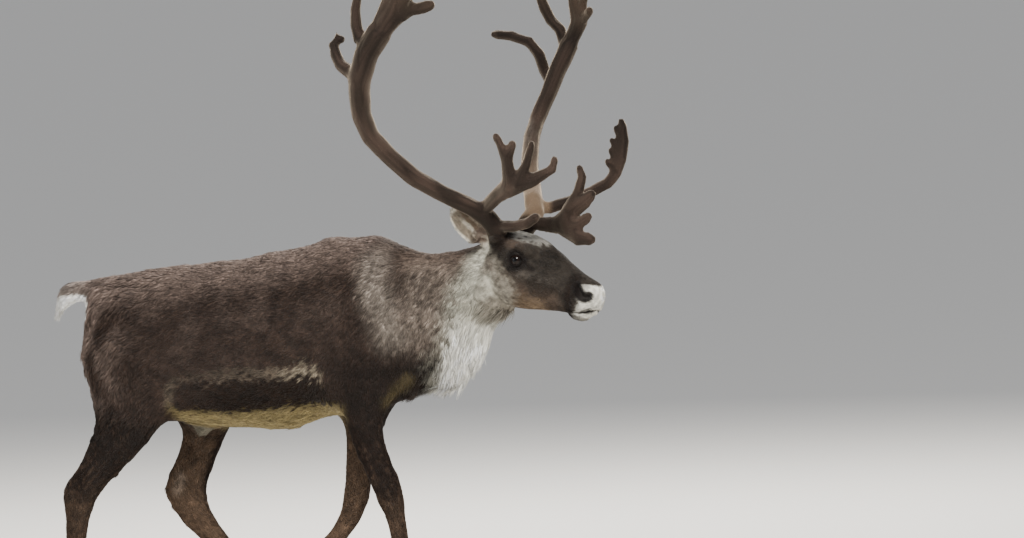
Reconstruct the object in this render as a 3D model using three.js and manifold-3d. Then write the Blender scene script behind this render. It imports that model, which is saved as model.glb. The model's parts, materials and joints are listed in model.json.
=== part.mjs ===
// A bull reindeer, walking with one forefoot just lifting, life size, in millimetres, +Z up.
// Its nose points along +X and its left side is towards +Y.
// The origin lies on the floor, under the middle of the body's box.
import * as THREE from "three";
import { mergeVertices } from "three/addons/utils/BufferGeometryUtils.js";
import Module from "manifold-3d";

const wasm = await Module();
wasm.setup();

// Driving dimensions
const WITHERS = 1168; // height of the shoulder top, over the coat
const BELLY = 579; // height of the lowest point of the belly
const RUMP_TOP = 1072; // height over the hips
const CHEST_HALF = 205; // half the width of the rib cage
const LEG_SPREAD = 98; // from the middle plane to a lower leg
const HEAD_YAW = 13; // degrees that the head turns to its right
const HEAD_PITCH = 19.6; // degrees that the nose points down
const HEAD_ROLL = -7; // degrees that the head tips to its left
const EYES_AT = [794, -30, 1083]; // middle of the line between the two eyes
const EYE_RADIUS = 21;
const EYE_SIDE = 67; // from the middle plane to an eyeball's centre
const SOLE_LENGTH = 104;
const SOLE_WIDTH = 44;
const HOOF_HEIGHT = 54;
const GAP = 0.3; // clearance left between neighbouring pieces
const CLAW_SIDES = 9;

const rad = THREE.MathUtils.degToRad;
const vec = (x, y, z) => new THREE.Vector3(x, y, z);

// Coat and horn colours
const FINISHES = {
  coat_brown: { color: "#4a3d35", roughness: 0.95, metalness: 0 },
  coat_pale: { color: "#b9b1a4", roughness: 0.95, metalness: 0 },
  coat_white: { color: "#e9e6de", roughness: 0.95, metalness: 0 },
  coat_dark: { color: "#2e2723", roughness: 0.95, metalness: 0 },
  velvet: { color: "#4b382c", roughness: 0.9, metalness: 0 },
  hoof: { color: "#1f1b19", roughness: 0.5, metalness: 0 },
  eye: { color: "#140d09", roughness: 0.08, metalness: 0 },
};

// A solid from a geometry: shared corners are merged and the faces are turned outwards.
function solidFrom(geometry, matrix = new THREE.Matrix4()) {
  const bare = geometry.index ? geometry.toNonIndexed() : geometry.clone();
  bare.deleteAttribute("normal");
  bare.deleteAttribute("uv");
  bare.applyMatrix4(matrix);
  const merged = mergeVertices(bare, 1e-3);
  const triVerts = new Uint32Array(merged.index.array);
  const vertProperties = new Float32Array(merged.attributes.position.array);
  let solid = new wasm.Manifold(new wasm.Mesh({ numProp: 3, vertProperties, triVerts }));
  if (solid.volume() < 0) {
    for (let i = 0; i < triVerts.length; i += 3) {
      [triVerts[i + 1], triVerts[i + 2]] = [triVerts[i + 2], triVerts[i + 1]];
    }
    solid = new wasm.Manifold(new wasm.Mesh({ numProp: 3, vertProperties, triVerts }));
  }
  return solid;
}

function geometryFrom(solid) {
  const mesh = solid.getMesh();
  const geometry = new THREE.BufferGeometry();
  geometry.setAttribute("position", new THREE.BufferAttribute(mesh.vertProperties, 3));
  geometry.setIndex(new THREE.BufferAttribute(mesh.triVerts, 1));
  return geometry.toNonIndexed();
}

// The largest separate body of a solid, so that a cut leaves no crumbs.
function largest(solid) {
  const bodies = solid.decompose();
  return bodies.reduce((best, body) => (body.volume() > best.volume() ? body : best));
}

const joined = (solids) => solids.reduce((sum, solid) => sum.add(solid));

// A closed surface through rings of equal count, with a middle point at each end.
// The rings take the place of a cylinder's rows of points.
function ringSurface(rings) {
  const sides = rings[0].length;
  const tube = new THREE.CylinderGeometry(1, 1, 1, sides, rings.length - 1, true);
  const corners = [];
  const grid = tube.index.array;
  for (const index of grid) {
    const row = Math.floor(index / (sides + 1));
    const column = (index % (sides + 1)) % sides;
    corners.push(rings[row][column]);
  }
  const ends = [[rings[0], false], [rings[rings.length - 1], true]];
  for (const [ring, turned] of ends) {
    const middle = ring.reduce((sum, point) => sum.add(point), vec(0, 0, 0)).divideScalar(sides);
    for (let i = 0; i < sides; i++) {
      const pair = [ring[i], ring[(i + 1) % sides]];
      corners.push(middle, ...(turned ? pair.reverse() : pair));
    }
  }
  return new THREE.BufferGeometry().setFromPoints(corners);
}

// Cross-sections of a limb or a trunk, each from its upper (or front) edge to its lower (or rear)
// edge in the XZ plane: [upperX, upperZ, lowerX, lowerZ, middle y, half width].
// A section is a superellipse: power 2 is an ellipse, less is pointed, more is boxy.
function sectionLoft(sections, { sides = 16, steps = 2, upperPower = 2, lowerPower = 2 } = {}) {
  const upper = new THREE.CatmullRomCurve3(sections.map((s) => vec(s[0], s[4], s[1])));
  const lower = new THREE.CatmullRomCurve3(sections.map((s) => vec(s[2], s[4], s[3])));
  const width = new THREE.CatmullRomCurve3(sections.map((s, i) => vec(i, s[5], 0)));
  const count = (sections.length - 1) * steps;
  const rings = [];
  for (let i = 0; i <= count; i++) {
    const t = i / count;
    const top = upper.getPoint(t);
    const bottom = lower.getPoint(t);
    const half = width.getPoint(t).y;
    const middle = top.clone().add(bottom).multiplyScalar(0.5);
    const rise = top.clone().sub(middle);
    const ring = [];
    for (let k = 0; k < sides; k++) {
      const angle = (k / sides) * Math.PI * 2;
      const power = Math.cos(angle) > 0 ? upperPower : lowerPower;
      const along = Math.sign(Math.cos(angle)) * Math.abs(Math.cos(angle)) ** (2 / power);
      const across = Math.sign(Math.sin(angle)) * Math.abs(Math.sin(angle)) ** (2 / power);
      ring.push(middle.clone().addScaledVector(rise, along).add(vec(0, half * across, 0)));
    }
    rings.push(ring);
  }
  return ringSurface(rings);
}

// A tapering tube through points, each [x, y, z, radius], round or flattened.
// face is the direction that a flattened tine is thin in, and a tip is rounded off.
const TUBE = { sides: 8, steps: 1, thin: 1, face: vec(0, 1, 0), grow: 0, tip: true };
const TIP_BACK = 0.3; // share of a step from the tip where its rounding starts
const TIP_GIRTHS = [1, 0.6]; // shares of the radius at the start and end of the rounding
function tineTube(points, options = {}) {
  const { sides, steps, thin, face, grow, tip } = { ...TUBE, ...options };
  const path = new THREE.CatmullRomCurve3(points.map((p) => vec(p[0], p[1], p[2])));
  const girth = new THREE.CatmullRomCurve3(points.map((p, i) => vec(i, p[3], 0)));
  const count = (points.length - 1) * steps;
  const stops = [];
  for (let i = 0; i <= count; i++) {
    stops.push([i / count, 1]);
  }
  if (tip) {
    stops.splice(count, 1, [1 - TIP_BACK / count, TIP_GIRTHS[0]], [1, TIP_GIRTHS[1]]);
  }
  const rings = stops.map(([t, share], i) => {
    const ahead = path.getTangent(t);
    const overrun = i === 0 ? -grow : i === stops.length - 1 ? grow : 0;
    const centre = path.getPoint(t).addScaledVector(ahead, overrun);
    const wide = ahead.clone().cross(face).normalize();
    const deep = wide.clone().cross(ahead).normalize();
    const radius = girth.getPoint(t).y * share + grow;
    return Array.from({ length: sides }, (_, k) => {
      const angle = (k / sides) * Math.PI * 2;
      return centre
        .clone()
        .addScaledVector(wide, radius * Math.cos(angle))
        .addScaledVector(deep, (radius * thin + grow * (1 - thin)) * Math.sin(angle));
    });
  });
  return ringSurface(rings);
}

function ellipsoid(centre, radii, { across = 8, down = 5, matrix = new THREE.Matrix4() } = {}) {
  const ball = new THREE.SphereGeometry(1, across, down);
  ball.scale(...radii);
  ball.translate(...centre);
  return solidFrom(ball, matrix);
}

// The head's own frame: origin between the eyes, x to the nose, y to the left, z up.
const headFrame = new THREE.Matrix4()
  .makeTranslation(...EYES_AT)
  .multiply(new THREE.Matrix4().makeRotationZ(rad(-HEAD_YAW)))
  .multiply(new THREE.Matrix4().makeRotationY(rad(HEAD_PITCH)))
  .multiply(new THREE.Matrix4().makeRotationX(rad(HEAD_ROLL)));

// Parts a solid with an oriented box: the share inside it, and the rest beyond a thin gap.
function parted(solid, size, place) {
  const roomy = size.map((length) => length + 2 * GAP);
  const inner = solidFrom(new THREE.BoxGeometry(...size), place);
  const outer = solidFrom(new THREE.BoxGeometry(...roomy), place);
  return [solid.intersect(inner), solid.subtract(outer)];
}

// Trunk: rump, belly, ribs and chest
function trunkSolid() {
  const hips = RUMP_TOP;
  const ribs = CHEST_HALF;
  return solidFrom(
    sectionLoft(
      [
        [-626, 940, -624, 815, 0, 50],
        [-612, 1000, -612, 745, 0, 118],
        [-574, hips - 36, -574, 690, 0, 158],
        [-490, hips - 10, -490, 652, 0, 184],
        [-400, hips + 2, -400, BELLY + 48, 0, 182],
        [-300, hips + 14, -300, BELLY + 29, 0, 180],
        [-200, hips + 25, -200, BELLY + 8, 0, ribs - 8],
        [-100, hips + 33, -100, BELLY, 0, ribs],
        [0, hips + 44, 0, BELLY + 8, 0, ribs - 1],
        [90, WITHERS - 28, 90, BELLY + 34, 0, ribs - 10],
        [165, WITHERS - 7, 165, BELLY + 55, 0, ribs - 24],
        [240, WITHERS, 240, BELLY + 62, 0, ribs - 36],
        [310, WITHERS - 14, 310, BELLY + 66, 0, ribs - 48],
        [370, WITHERS - 60, 375, BELLY + 84, 0, ribs - 68],
        [415, WITHERS - 170, 425, BELLY + 112, 0, ribs - 102],
        [440, WITHERS - 290, 450, BELLY + 165, 0, 50],
      ],
      { sides: 15, steps: 1, upperPower: 1.9, lowerPower: 2.25 },
    ),
  );
}

// Neck with the long throat mane, from the shoulders to the back of the head
function neckSolid() {
  return solidFrom(
    sectionLoft(
      [
        [235, 1145, 330, 680, 0, 148],
        [340, 1143, 440, 694, 0, 138],
        [425, 1120, 530, 684, 0, 118],
        [505, 1114, 610, 733, 0, 100],
        [570, 1124, 664, 815, -2, 90],
        [618, 1138, 702, 900, -4, 84],
        [664, 1146, 742, 960, -8, 70],
      ],
      { sides: 12, steps: 1, upperPower: 2, lowerPower: 1.75 },
    ),
  );
}

// Head: skull, muzzle and closed jaw in one, with a brow ridge over each eye
function headSolid() {
  const skull = sectionLoft(
    [
      [-150, 20, -145, -75, 0, 45],
      [-128, 50, -118, -118, 0, 66],
      [-92, 68, -76, -142, 0, 76],
      [-45, 76, -30, -148, 0, 80],
      [-5, 80, 5, -145, 0, 83],
      [30, 76, 36, -138, 0, 79],
      [70, 64, 72, -127, 0, 66],
      [110, 52, 108, -116, 0, 55],
      [150, 41, 146, -105, 0, 48],
      [185, 31, 182, -98, 0, 46],
      [215, 27, 212, -109, 0, 46],
      [240, 23, 236, -104, 0, 45],
      [256, 16, 252, -87, 0, 41],
      [268, 3, 266, -71, 0, 34],
      [274, -15, 274, -52, 0, 20],
    ],
    { sides: 16, steps: 1, upperPower: 2.2, lowerPower: 2.05 },
  );
  const solids = [solidFrom(skull, headFrame)];
  for (const side of [-1, 1]) {
    solids.push(ellipsoid([14, side * 54, 34], [44, 26, 24], { matrix: headFrame }));
  }
  return joined(solids);
}

// Ear: a leaf-shaped cup, its hollow facing out and forward, with its root sunk into the skull
function earSolid(side) {
  const base = vec(-120, side * 66, 8);
  const tip = side < 0 ? vec(-205, -172, 82) : vec(-216, 166, 40); // the left ear is laid further back
  const hollow = vec(0.74, side * 0.52, -0.2);
  const length = tip.clone().sub(base);
  const across = length.clone().cross(hollow).normalize();
  const back = across.clone().cross(length).normalize();
  const facing = Math.sign(back.dot(hollow));
  const stops = [-0.22, 0, 0.12, 0.28, 0.45, 0.62, 0.78, 0.9, 0.97, 1];
  const halfWidths = [20, 25, 31, 37, 39, 37, 30, 20, 11, 3];
  const depths = [12, 16, 20, 19, 16, 13, 9, 5, 2, 0];
  const rootWall = 7; // thickness at the root, halved towards the tip
  const lip = 0.93; // the inner face's width as a share of the outer one's
  const span = 5; // points across each face
  const rings = stops.map((t, i) => {
    const centre = base.clone().addScaledVector(length, t);
    const wall = rootWall * (1 - 0.5 * t);
    const ring = [];
    for (let k = 0; k < span; k++) {
      const s = -1 + (2 * k) / (span - 1);
      ring.push([s, -depths[i] * (1 - s * s) - wall]);
    }
    for (let k = 0; k < span; k++) {
      const s = 1 - (2 * k) / (span - 1);
      ring.push([s * lip, -depths[i] * (1 - s * s)]);
    }
    return ring.map(([s, d]) =>
      centre
        .clone()
        .addScaledVector(across, s * halfWidths[i])
        .addScaledVector(back, d * facing),
    );
  });
  return solidFrom(ringSurface(rings), headFrame);
}

function tailSolid() {
  return solidFrom(
    sectionLoft(
      [
        [-545, 1040, -560, 940, 0, 44],
        [-582, 1040, -592, 962, 0, 40],
        [-620, 1039, -627, 978, 0, 37],
        [-655, 1040, -656, 982, 0, 36],
        [-690, 1034, -686, 972, 0, 32],
        [-716, 1010, -706, 960, 0, 24],
        [-728, 975, -716, 950, 0, 12],
        [-730, 950, -726, 944, 0, 4],
      ],
      { sides: 10, steps: 1 },
    ),
  );
}

// Legs from the body down to the coronet, each section from its front edge to its rear edge
const HIND_RIGHT = [
  [-300, 900, -590, 930, -95, 70],
  [-300, 800, -614, 830, -108, 82],
  [-318, 715, -600, 730, -112, 84],
  [-345, 640, -590, 665, -112, 76],
  [-386, 590, -589, 620, -110, 64],
  [-434, 540, -593, 585, -108, 54],
  [-492, 495, -604, 552, -106, 46],
  [-545, 446, -640, 505, -104, 41],
  [-582, 415, -688, 456, -102, 37],
  [-598, 388, -701, 410, -100, 35],
  [-612, 355, -694, 362, -LEG_SPREAD, 31],
  [-631, 300, -693, 300, -LEG_SPREAD, 26],
  [-636, 220, -692, 220, -LEG_SPREAD, 25],
  [-626, 160, -696, 148, -LEG_SPREAD, 31],
  [-602, 102, -668, 86, -LEG_SPREAD, 30],
  [-566, 50, -654, 34, -LEG_SPREAD, 42],
];
const HIND_LEFT = [
  [-270, 900, -590, 925, 95, 70],
  [-228, 800, -602, 815, 108, 84],
  [-206, 715, -560, 725, 112, 84],
  [-206, 650, -470, 665, 110, 76],
  [-228, 600, -400, 622, 108, 64],
  [-256, 550, -390, 578, 106, 54],
  [-282, 505, -398, 538, 104, 46],
  [-304, 465, -420, 492, 102, 41],
  [-320, 426, -450, 440, 100, 37],
  [-322, 395, -457, 396, LEG_SPREAD, 35],
  [-312, 362, -425, 340, LEG_SPREAD, 31],
  [-288, 312, -352, 266, LEG_SPREAD, 27],
  [-244, 254, -288, 216, LEG_SPREAD, 25],
  [-190, 188, -246, 156, LEG_SPREAD, 31],
  [-170, 116, -232, 96, LEG_SPREAD, 30],
  [-136, 52, -222, 36, LEG_SPREAD, 42],
];
const FORE_RIGHT = [
  [330, 1000, 120, 1000, -70, 70],
  [400, 880, 130, 860, -92, 84],
  [416, 790, 150, 760, -102, 84],
  [388, 715, 178, 700, -104, 74],
  [345, 655, 205, 652, -102, 61],
  [334, 605, 221, 600, -100, 52],
  [340, 558, 241, 545, -LEG_SPREAD, 45],
  [353, 508, 261, 495, -LEG_SPREAD, 39],
  [375, 452, 286, 440, -LEG_SPREAD, 37],
  [393, 400, 305, 388, -LEG_SPREAD, 37],
  [397, 350, 332, 342, -LEG_SPREAD, 31],
  [397, 290, 346, 288, -LEG_SPREAD, 25],
  [402, 220, 355, 216, -LEG_SPREAD, 24],
  [420, 160, 355, 142, -LEG_SPREAD, 31],
  [438, 102, 378, 86, -LEG_SPREAD, 29],
  [474, 50, 390, 34, -LEG_SPREAD, 42],
];
const FORE_LEFT = [
  [330, 1000, 120, 1000, 70, 70],
  [400, 880, 125, 860, 92, 84],
  [408, 790, 122, 760, 102, 84],
  [362, 715, 118, 705, 104, 74],
  [300, 655, 120, 655, 102, 61],
  [262, 602, 122, 605, 100, 52],
  [236, 548, 119, 548, LEG_SPREAD, 45],
  [217, 492, 118, 494, LEG_SPREAD, 39],
  [207, 436, 120, 444, LEG_SPREAD, 37],
  [204, 386, 121, 402, LEG_SPREAD, 37],
  [184, 334, 117, 358, LEG_SPREAD, 31],
  [150, 291, 98, 322, LEG_SPREAD, 26],
  [112, 248, 68, 280, LEG_SPREAD, 24],
  [50, 182, -8, 216, LEG_SPREAD, 30],
  [44, 132, -12, 138, LEG_SPREAD, 29],
  [58, 72, -24, 92, LEG_SPREAD, 40],
];
const LEG_LOFT = { sides: 10, steps: 1, upperPower: 2.1, lowerPower: 2.1 };
const legSolid = (sections) => solidFrom(sectionLoft(sections, LEG_LOFT));

// One claw of a cloven hoof: a flat sole, a sloping wall and a straight inner side
function clawGeometry(side, grow = 0) {
  const levels = [0, 0.25, 1]; // shares of the hoof's height
  const leanBack = 20; // the coronet sits this far behind the sole's middle
  const innerFlat = 0.72; // the inner side bulges this much less than the outer one
  const toeIn = 6;
  const rings = levels.map((share) => {
    const length = (SOLE_LENGTH * (1 - 0.34 * share)) / 2 + grow;
    const width = (SOLE_WIDTH * (1 - 0.12 * share)) / 2 + grow;
    const middleX = SOLE_LENGTH / 2 - leanBack * share;
    const overrun = { 0: -grow, 1: grow }[share] ?? 0;
    return Array.from({ length: CLAW_SIDES }, (_, k) => {
      const angle = (k / CLAW_SIDES) * Math.PI * 2;
      const outward = Math.sin(angle);
      const across = outward < 0 ? outward * innerFlat : outward;
      const inward = Math.max(0, Math.cos(angle)) * toeIn;
      const x = middleX + length * Math.cos(angle);
      const y = side * (SOLE_WIDTH / 2 + 2 + width * across - inward);
      return vec(x, y, share * HOOF_HEIGHT + overrun);
    });
  });
  return ringSurface(rings);
}

// A dewclaw, the small hoof behind the pastern
function dewclawGeometry(side, grow = 0) {
  return tineTube(
    [
      [-2, side * 23, 74, 14],
      [-18, side * 28, 52, 14],
      [-28, side * 30, 28, 9],
    ],
    { sides: 6, thin: 0.72, face: vec(1, 0, 0), grow },
  );
}

// Where each foot stands: heel position, and how far the toe points down
const FEET = {
  hind_right: { heel: [-652, -LEG_SPREAD, 0], toeDown: 0 },
  hind_left: { heel: [-222, LEG_SPREAD, 0], toeDown: 0 },
  fore_right: { heel: [390, -LEG_SPREAD, 0], toeDown: 0 },
  fore_left: { heel: [-52, LEG_SPREAD, 74], toeDown: 48 },
};
const footFrame = (foot) =>
  new THREE.Matrix4()
    .makeTranslation(...foot.heel)
    .multiply(new THREE.Matrix4().makeRotationY(rad(foot.toeDown)));

// Antlers, in the head's frame: each point is [x, y, z, radius].
const RIGHT_ANTLER = {
  beam: [
    [-96, -46, 30, 29],
    [-108, -54, 54, 30],
    [-132, -84, 84, 28],
    [-166, -120, 100, 25],
    [-228, -212, 121, 23],
    [-293, -282, 144, 24.5],
    [-364, -340, 185, 25],
    [-409, -395, 226, 26],
    [-434, -438, 281, 28],
    [-447, -468, 347, 31],
    [-450, -484, 389, 33],
    [-447, -494, 464, 35],
    [-429, -490, 541, 38],
  ],
  brow: [[[-118, -62, 66, 18], [-46, -76, 88, 16], [4, -86, 116, 14], [34, -92, 150, 12]]],
  bez: [
    [[-144, -100, 105, 24], [-92, -136, 166, 25], [-49, -158, 211, 34], [0, -166, 243, 26]],
    [[-44, -160, 213, 30], [-69, -187, 285, 20], [-95, -200, 318, 13], [-121, -208, 343, 10]],
    [[-67, -188, 286, 18], [-64, -192, 317, 16], [-60, -194, 342, 12]],
    [[-23, -164, 221, 30], [-5, -177, 295, 15], [-11, -176, 359, 11]],
    [[-50, -158, 205, 32], [27, -162, 258, 21], [70, -154, 305, 14], [64, -150, 340, 11]],
  ],
  back: [
    [-470, -482, 393, 24],
    [-528, -480, 401, 17],
    [-560, -474, 423, 15],
    [-583, -464, 445, 14],
    [-584, -454, 469, 14],
    [-567, -448, 464, 11],
  ],
  second: [
    [-478, -494, 492, 20],
    [-507, -500, 531, 16],
    [-522, -504, 570, 14],
    [-533, -502, 647, 8],
  ],
  crown: [
    [[-433, -491, 528, 36], [-418, -480, 595, 49], [-415, -474, 655, 50], [-424, -458, 705, 38]],
    [[-430, -474, 660, 28], [-486, -458, 730, 19], [-548, -440, 786, 12]],
    [[-400, -468, 668, 28], [-396, -450, 734, 19], [-404, -424, 800, 12]],
    [[-388, -484, 606, 30], [-372, -460, 630, 22], [-345, -438, 647, 18], [-323, -424, 666, 14]],
  ],
};
const LEFT_ANTLER = {
  beam: [
    [-96, 46, 30, 30],
    [-79, 58, 96, 29],
    [-85, 82, 123, 27],
    [-122, 112, 151, 26],
    [-168, 165, 168, 25],
    [-225, 215, 202, 25],
    [-278, 272, 244, 24],
    [-325, 328, 282, 23],
    [-360, 382, 322, 22],
    [-379, 432, 415, 23],
    [-393, 462, 477, 25],
    [-401, 494, 556, 28],
  ],
  brow: [
    [
      [-73, 56, 99, 22],
      [-43, 54, 103, 20],
      [16, 48, 120, 25],
      [47, 40, 145, 31],
      [65, 34, 183, 32],
    ],
    [[55, 36, 162, 30], [67, 31, 236, 17], [63, 30, 286, 13], [41, 30, 312, 10]],
    [[55, 33, 167, 30], [102, 24, 227, 22], [124, 20, 260, 12]],
    [[35, 40, 133, 24], [109, 22, 156, 19], [137, 18, 194, 12]],
    [[21, 44, 125, 24], [119, 24, 118, 24], [177, 18, 130, 13]],
  ],
  bez: [
    [
      [-108, 112, 133, 22],
      [-70, 132, 146, 17],
      [-24, 164, 187, 16],
      [16, 188, 230, 16],
      [47, 203, 266, 18],
      [61, 210, 305, 19],
      [57, 216, 349, 21],
      [46, 219, 400, 19],
      [24, 205, 457, 12],
    ],
    [[42, 216, 397, 13], [13, 204, 432, 8]],
    [[49, 214, 362, 14], [15, 200, 394, 8]],
    [[55, 212, 332, 14], [22, 200, 365, 8]],
    [[55, 208, 312, 14], [23, 198, 330, 8]],
  ],
  back: [
    [-410, 474, 432, 18],
    [-440, 468, 458, 16],
    [-466, 454, 498, 16],
    [-502, 434, 524, 15],
    [-552, 410, 524, 14],
    [-602, 386, 510, 11],
  ],
  second: [
    [-420, 498, 548, 18],
    [-450, 500, 582, 16],
    [-492, 500, 598, 15],
    [-526, 500, 624, 15],
    [-560, 495, 662, 13],
    [-584, 485, 712, 9],
  ],
  crown: [
    [[-403, 494, 545, 26], [-391, 492, 625, 29], [-422, 476, 681, 18], [-460, 450, 772, 10]],
    [[-387, 488, 631, 26], [-390, 472, 692, 15], [-370, 440, 786, 10]],
    [[-387, 488, 631, 22], [-361, 468, 658, 15], [-341, 450, 683, 12]],
  ],
};

// A flattened kind of tine: how thin it is, and the direction that it is thin in
const FLAT_TINES = {
  brow: { thin: 0.55, face: vec(0, 1, 0.1) },
  bez: { thin: 0.66, face: vec(0.35, 1, 0) },
  crown: { thin: 0.72, face: vec(0.3, 1, 0) },
};
const CROWN_ROOT = 16; // the crown is parted this far below the beam's end
const BEAM_SPLIT = 6; // the beam point where its lower and upper halves part

// Tines of one kind grown together, in the body's frame
function tineGroup(tines, kind, grow = 0) {
  const flat = tines.length > 1 ? FLAT_TINES[kind] : {};
  const shape = { sides: 6, face: vec(0.2, 1, 0.1), ...flat, grow };
  return joined(tines.map((points) => solidFrom(tineTube(points, shape), headFrame)));
}

// A large block that starts at a point and reaches onward, turned to a direction
const BLOCK = [700, 700, 700];
const onwardBlock = (point, direction) =>
  new THREE.Matrix4().compose(
    point.clone().addScaledVector(direction, BLOCK[0] / 2),
    new THREE.Quaternion().setFromUnitVectors(vec(1, 0, 0), direction),
    vec(1, 1, 1),
  );

// One antler: its beam in two halves, its crown and its side tines, parted at the forks
function antlerNodes(name, antler) {
  const beamSolid = (grow) => solidFrom(tineTube(antler.beam, { tip: false, grow }), headFrame);
  const around = beamSolid(GAP);
  const whole = beamSolid(0).add(tineGroup(antler.crown, "crown"));
  const path = antler.beam.map(([x, y, z]) => vec(x, y, z).applyMatrix4(headFrame));
  const aimAt = (i) => path[i + 1].clone().sub(path[i]).normalize();
  const endAim = aimAt(path.length - 2);
  const crownRoot = path[path.length - 1].clone().addScaledVector(endAim, -CROWN_ROOT);
  const [crown, beam] = parted(whole, BLOCK, onwardBlock(crownRoot, endAim));
  const split = onwardBlock(path[BEAM_SPLIT], aimAt(BEAM_SPLIT));
  const [upper, lower] = parted(beam, BLOCK, split);
  const nodes = {
    [`antler_${name}_beam_lower`]: lower,
    [`antler_${name}_beam_upper`]: upper,
    [`antler_${name}_crown`]: crown,
    [`antler_${name}_brow_tine`]: tineGroup(antler.brow, "brow").subtract(around),
    [`antler_${name}_bez_tine`]: tineGroup(antler.bez, "bez").subtract(around),
    [`antler_${name}_back_tine`]: tineGroup([antler.back], "back").subtract(around),
    [`antler_${name}_second_tine`]: tineGroup([antler.second], "second")
      .subtract(around)
      .subtract(tineGroup(antler.crown, "crown", GAP)),
  };
  return { nodes, around };
}

const reindeer = new THREE.Group();

// Adds one named piece to the model
function addNode(name, solid, finish) {
  const material = new THREE.MeshStandardMaterial(FINISHES[finish]);
  const mesh = new THREE.Mesh(geometryFrom(largest(solid)), material);
  mesh.name = name;
  reindeer.add(mesh);
}

// Hooves and dewclaws first, so that the legs can be cut to fit them
const moved = (x, y, z) => new THREE.Matrix4().makeTranslation(x, y, z);
const underFloor = solidFrom(new THREE.BoxGeometry(4000, 4000, 100), moved(0, 0, -50));
const bodyCuts = [];
for (const [name, foot] of Object.entries(FEET)) {
  const frame = footFrame(foot);
  for (const [sideName, side] of [["left", 1], ["right", -1]]) {
    const claw = solidFrom(clawGeometry(side), frame).subtract(underFloor);
    const aroundClaw = solidFrom(clawGeometry(side, GAP), frame);
    const dewclaw = solidFrom(dewclawGeometry(side), frame).subtract(aroundClaw);
    addNode(`hoof_${name}_${sideName}`, claw, "hoof");
    addNode(`dewclaw_${name}_${sideName}`, dewclaw, "hoof");
    bodyCuts.push(aroundClaw, solidFrom(dewclawGeometry(side, GAP), frame));
  }
}

for (const [name, antler] of [["right", RIGHT_ANTLER], ["left", LEFT_ANTLER]]) {
  const { nodes, around } = antlerNodes(name, antler);
  for (const [nodeName, solid] of Object.entries(nodes)) {
    addNode(nodeName, solid, "velvet");
  }
  bodyCuts.push(around);
}

for (const [name, side] of [["left", 1], ["right", -1]]) {
  const centre = [0, side * EYE_SIDE, 0];
  const ball = (radius) => ellipsoid(centre, [radius, radius, radius], { matrix: headFrame });
  addNode(`eye_${name}`, ball(EYE_RADIUS), "eye");
  bodyCuts.push(ball(EYE_RADIUS + GAP));
}

// The whole flesh in one, less the room for horn, antlers and eyes
let flesh = joined([
  trunkSolid(),
  neckSolid(),
  headSolid(),
  tailSolid(),
  earSolid(1),
  earSolid(-1),
  ...[HIND_RIGHT, HIND_LEFT, FORE_RIGHT, FORE_LEFT].map(legSolid),
]);
for (const cut of bodyCuts) {
  flesh = flesh.subtract(cut);
}

// Boxes whose faces part the flesh at the ears, head, neck and tail
const EAR_BOX = { size: [160, 160, 200], at: [-150, 164, 50] }; // in the head's frame
const HEAD_BOX = { size: [440, 300, 340], at: [116, 0, -20] }; // in the head's frame
const NECK_BOX = { size: [480, 400, 700], at: [640, 0, 900], lean: -14 };
const TAIL_BOX = { size: [200, 200, 200], at: [-732, 0, 1000] };

// Where each leg parts from the body, and where it parts at its knee or hock
const LEG_ROOM = 208;
const LEG_REACH = { lower: 460, upper: 420 };
const UPPER_DEPTH = 400;
const LEG_CUTS = {
  hind_right: { middle: [-495, -112], top: 652, tilt: 15, joint: 330 },
  hind_left: { middle: [-335, 112], top: 622, tilt: 8, joint: 330 },
  fore_right: { middle: [300, -112], top: 628, tilt: 0, joint: 320 },
  fore_left: { middle: [150, 112], top: 622, tilt: 0, joint: 320 },
};

// Takes the share inside a box away from the flesh and adds it as a piece of its own
function takeAway(name, size, place, finish) {
  const [inside, rest] = parted(flesh, size, place);
  addNode(name, inside, finish);
  flesh = rest;
}
const inHead = (x, y, z) => headFrame.clone().multiply(moved(x, y, z));
const leaning = (x, y, z, lean) => moved(x, y, z).multiply(new THREE.Matrix4().makeRotationY(rad(lean)));

for (const [name, side] of [["right", -1], ["left", 1]]) {
  const [x, y, z] = EAR_BOX.at;
  takeAway(`ear_${name}`, EAR_BOX.size, inHead(x, side * y, z), "coat_pale");
}
takeAway("head", HEAD_BOX.size, inHead(...HEAD_BOX.at), "coat_dark");
takeAway("neck", NECK_BOX.size, leaning(...NECK_BOX.at, NECK_BOX.lean), "coat_pale");
takeAway("tail", TAIL_BOX.size, moved(...TAIL_BOX.at), "coat_white");
for (const [name, { middle, top, tilt, joint }] of Object.entries(LEG_CUTS)) {
  const [x, y] = middle;
  const below = moved(x, y, joint / 2 - 10);
  takeAway(`leg_${name}_lower`, [LEG_REACH.lower, LEG_ROOM, joint + 20], below, "coat_dark");
  const above = leaning(x, y, top, tilt).multiply(moved(0, 0, -UPPER_DEPTH / 2));
  takeAway(`leg_${name}_upper`, [LEG_REACH.upper, LEG_ROOM, UPPER_DEPTH], above, "coat_brown");
}
addNode("trunk", flesh, "coat_brown");

// Sets the origin on the floor under the middle of the box
const box = new THREE.Box3().setFromObject(reindeer);
const boxMiddle = box.getCenter(vec(0, 0, 0));
reindeer.position.set(-boxMiddle.x, -boxMiddle.y, -box.min.z);

export default reindeer;
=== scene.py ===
# %% [markdown]
# # A bull reindeer in its soft late-summer coat
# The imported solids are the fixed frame: they say how long each leg is and where the coat ends.
# This lesson puts one skin inside them, grows a coat of small pointed locks on that skin,
# and finishes the antlers, the hooves and the eyes as pieces of their own.
# Everything is in metres in the frame's own axes: +X is where the animal faces, +Z is up.

# %% Tools, the frame and its box
import json
import math

import bmesh
import bpy
import numpy as np
from mathutils import Matrix, Vector
from mathutils.bvhtree import BVHTree
from mathutils.kdtree import KDTree

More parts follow.
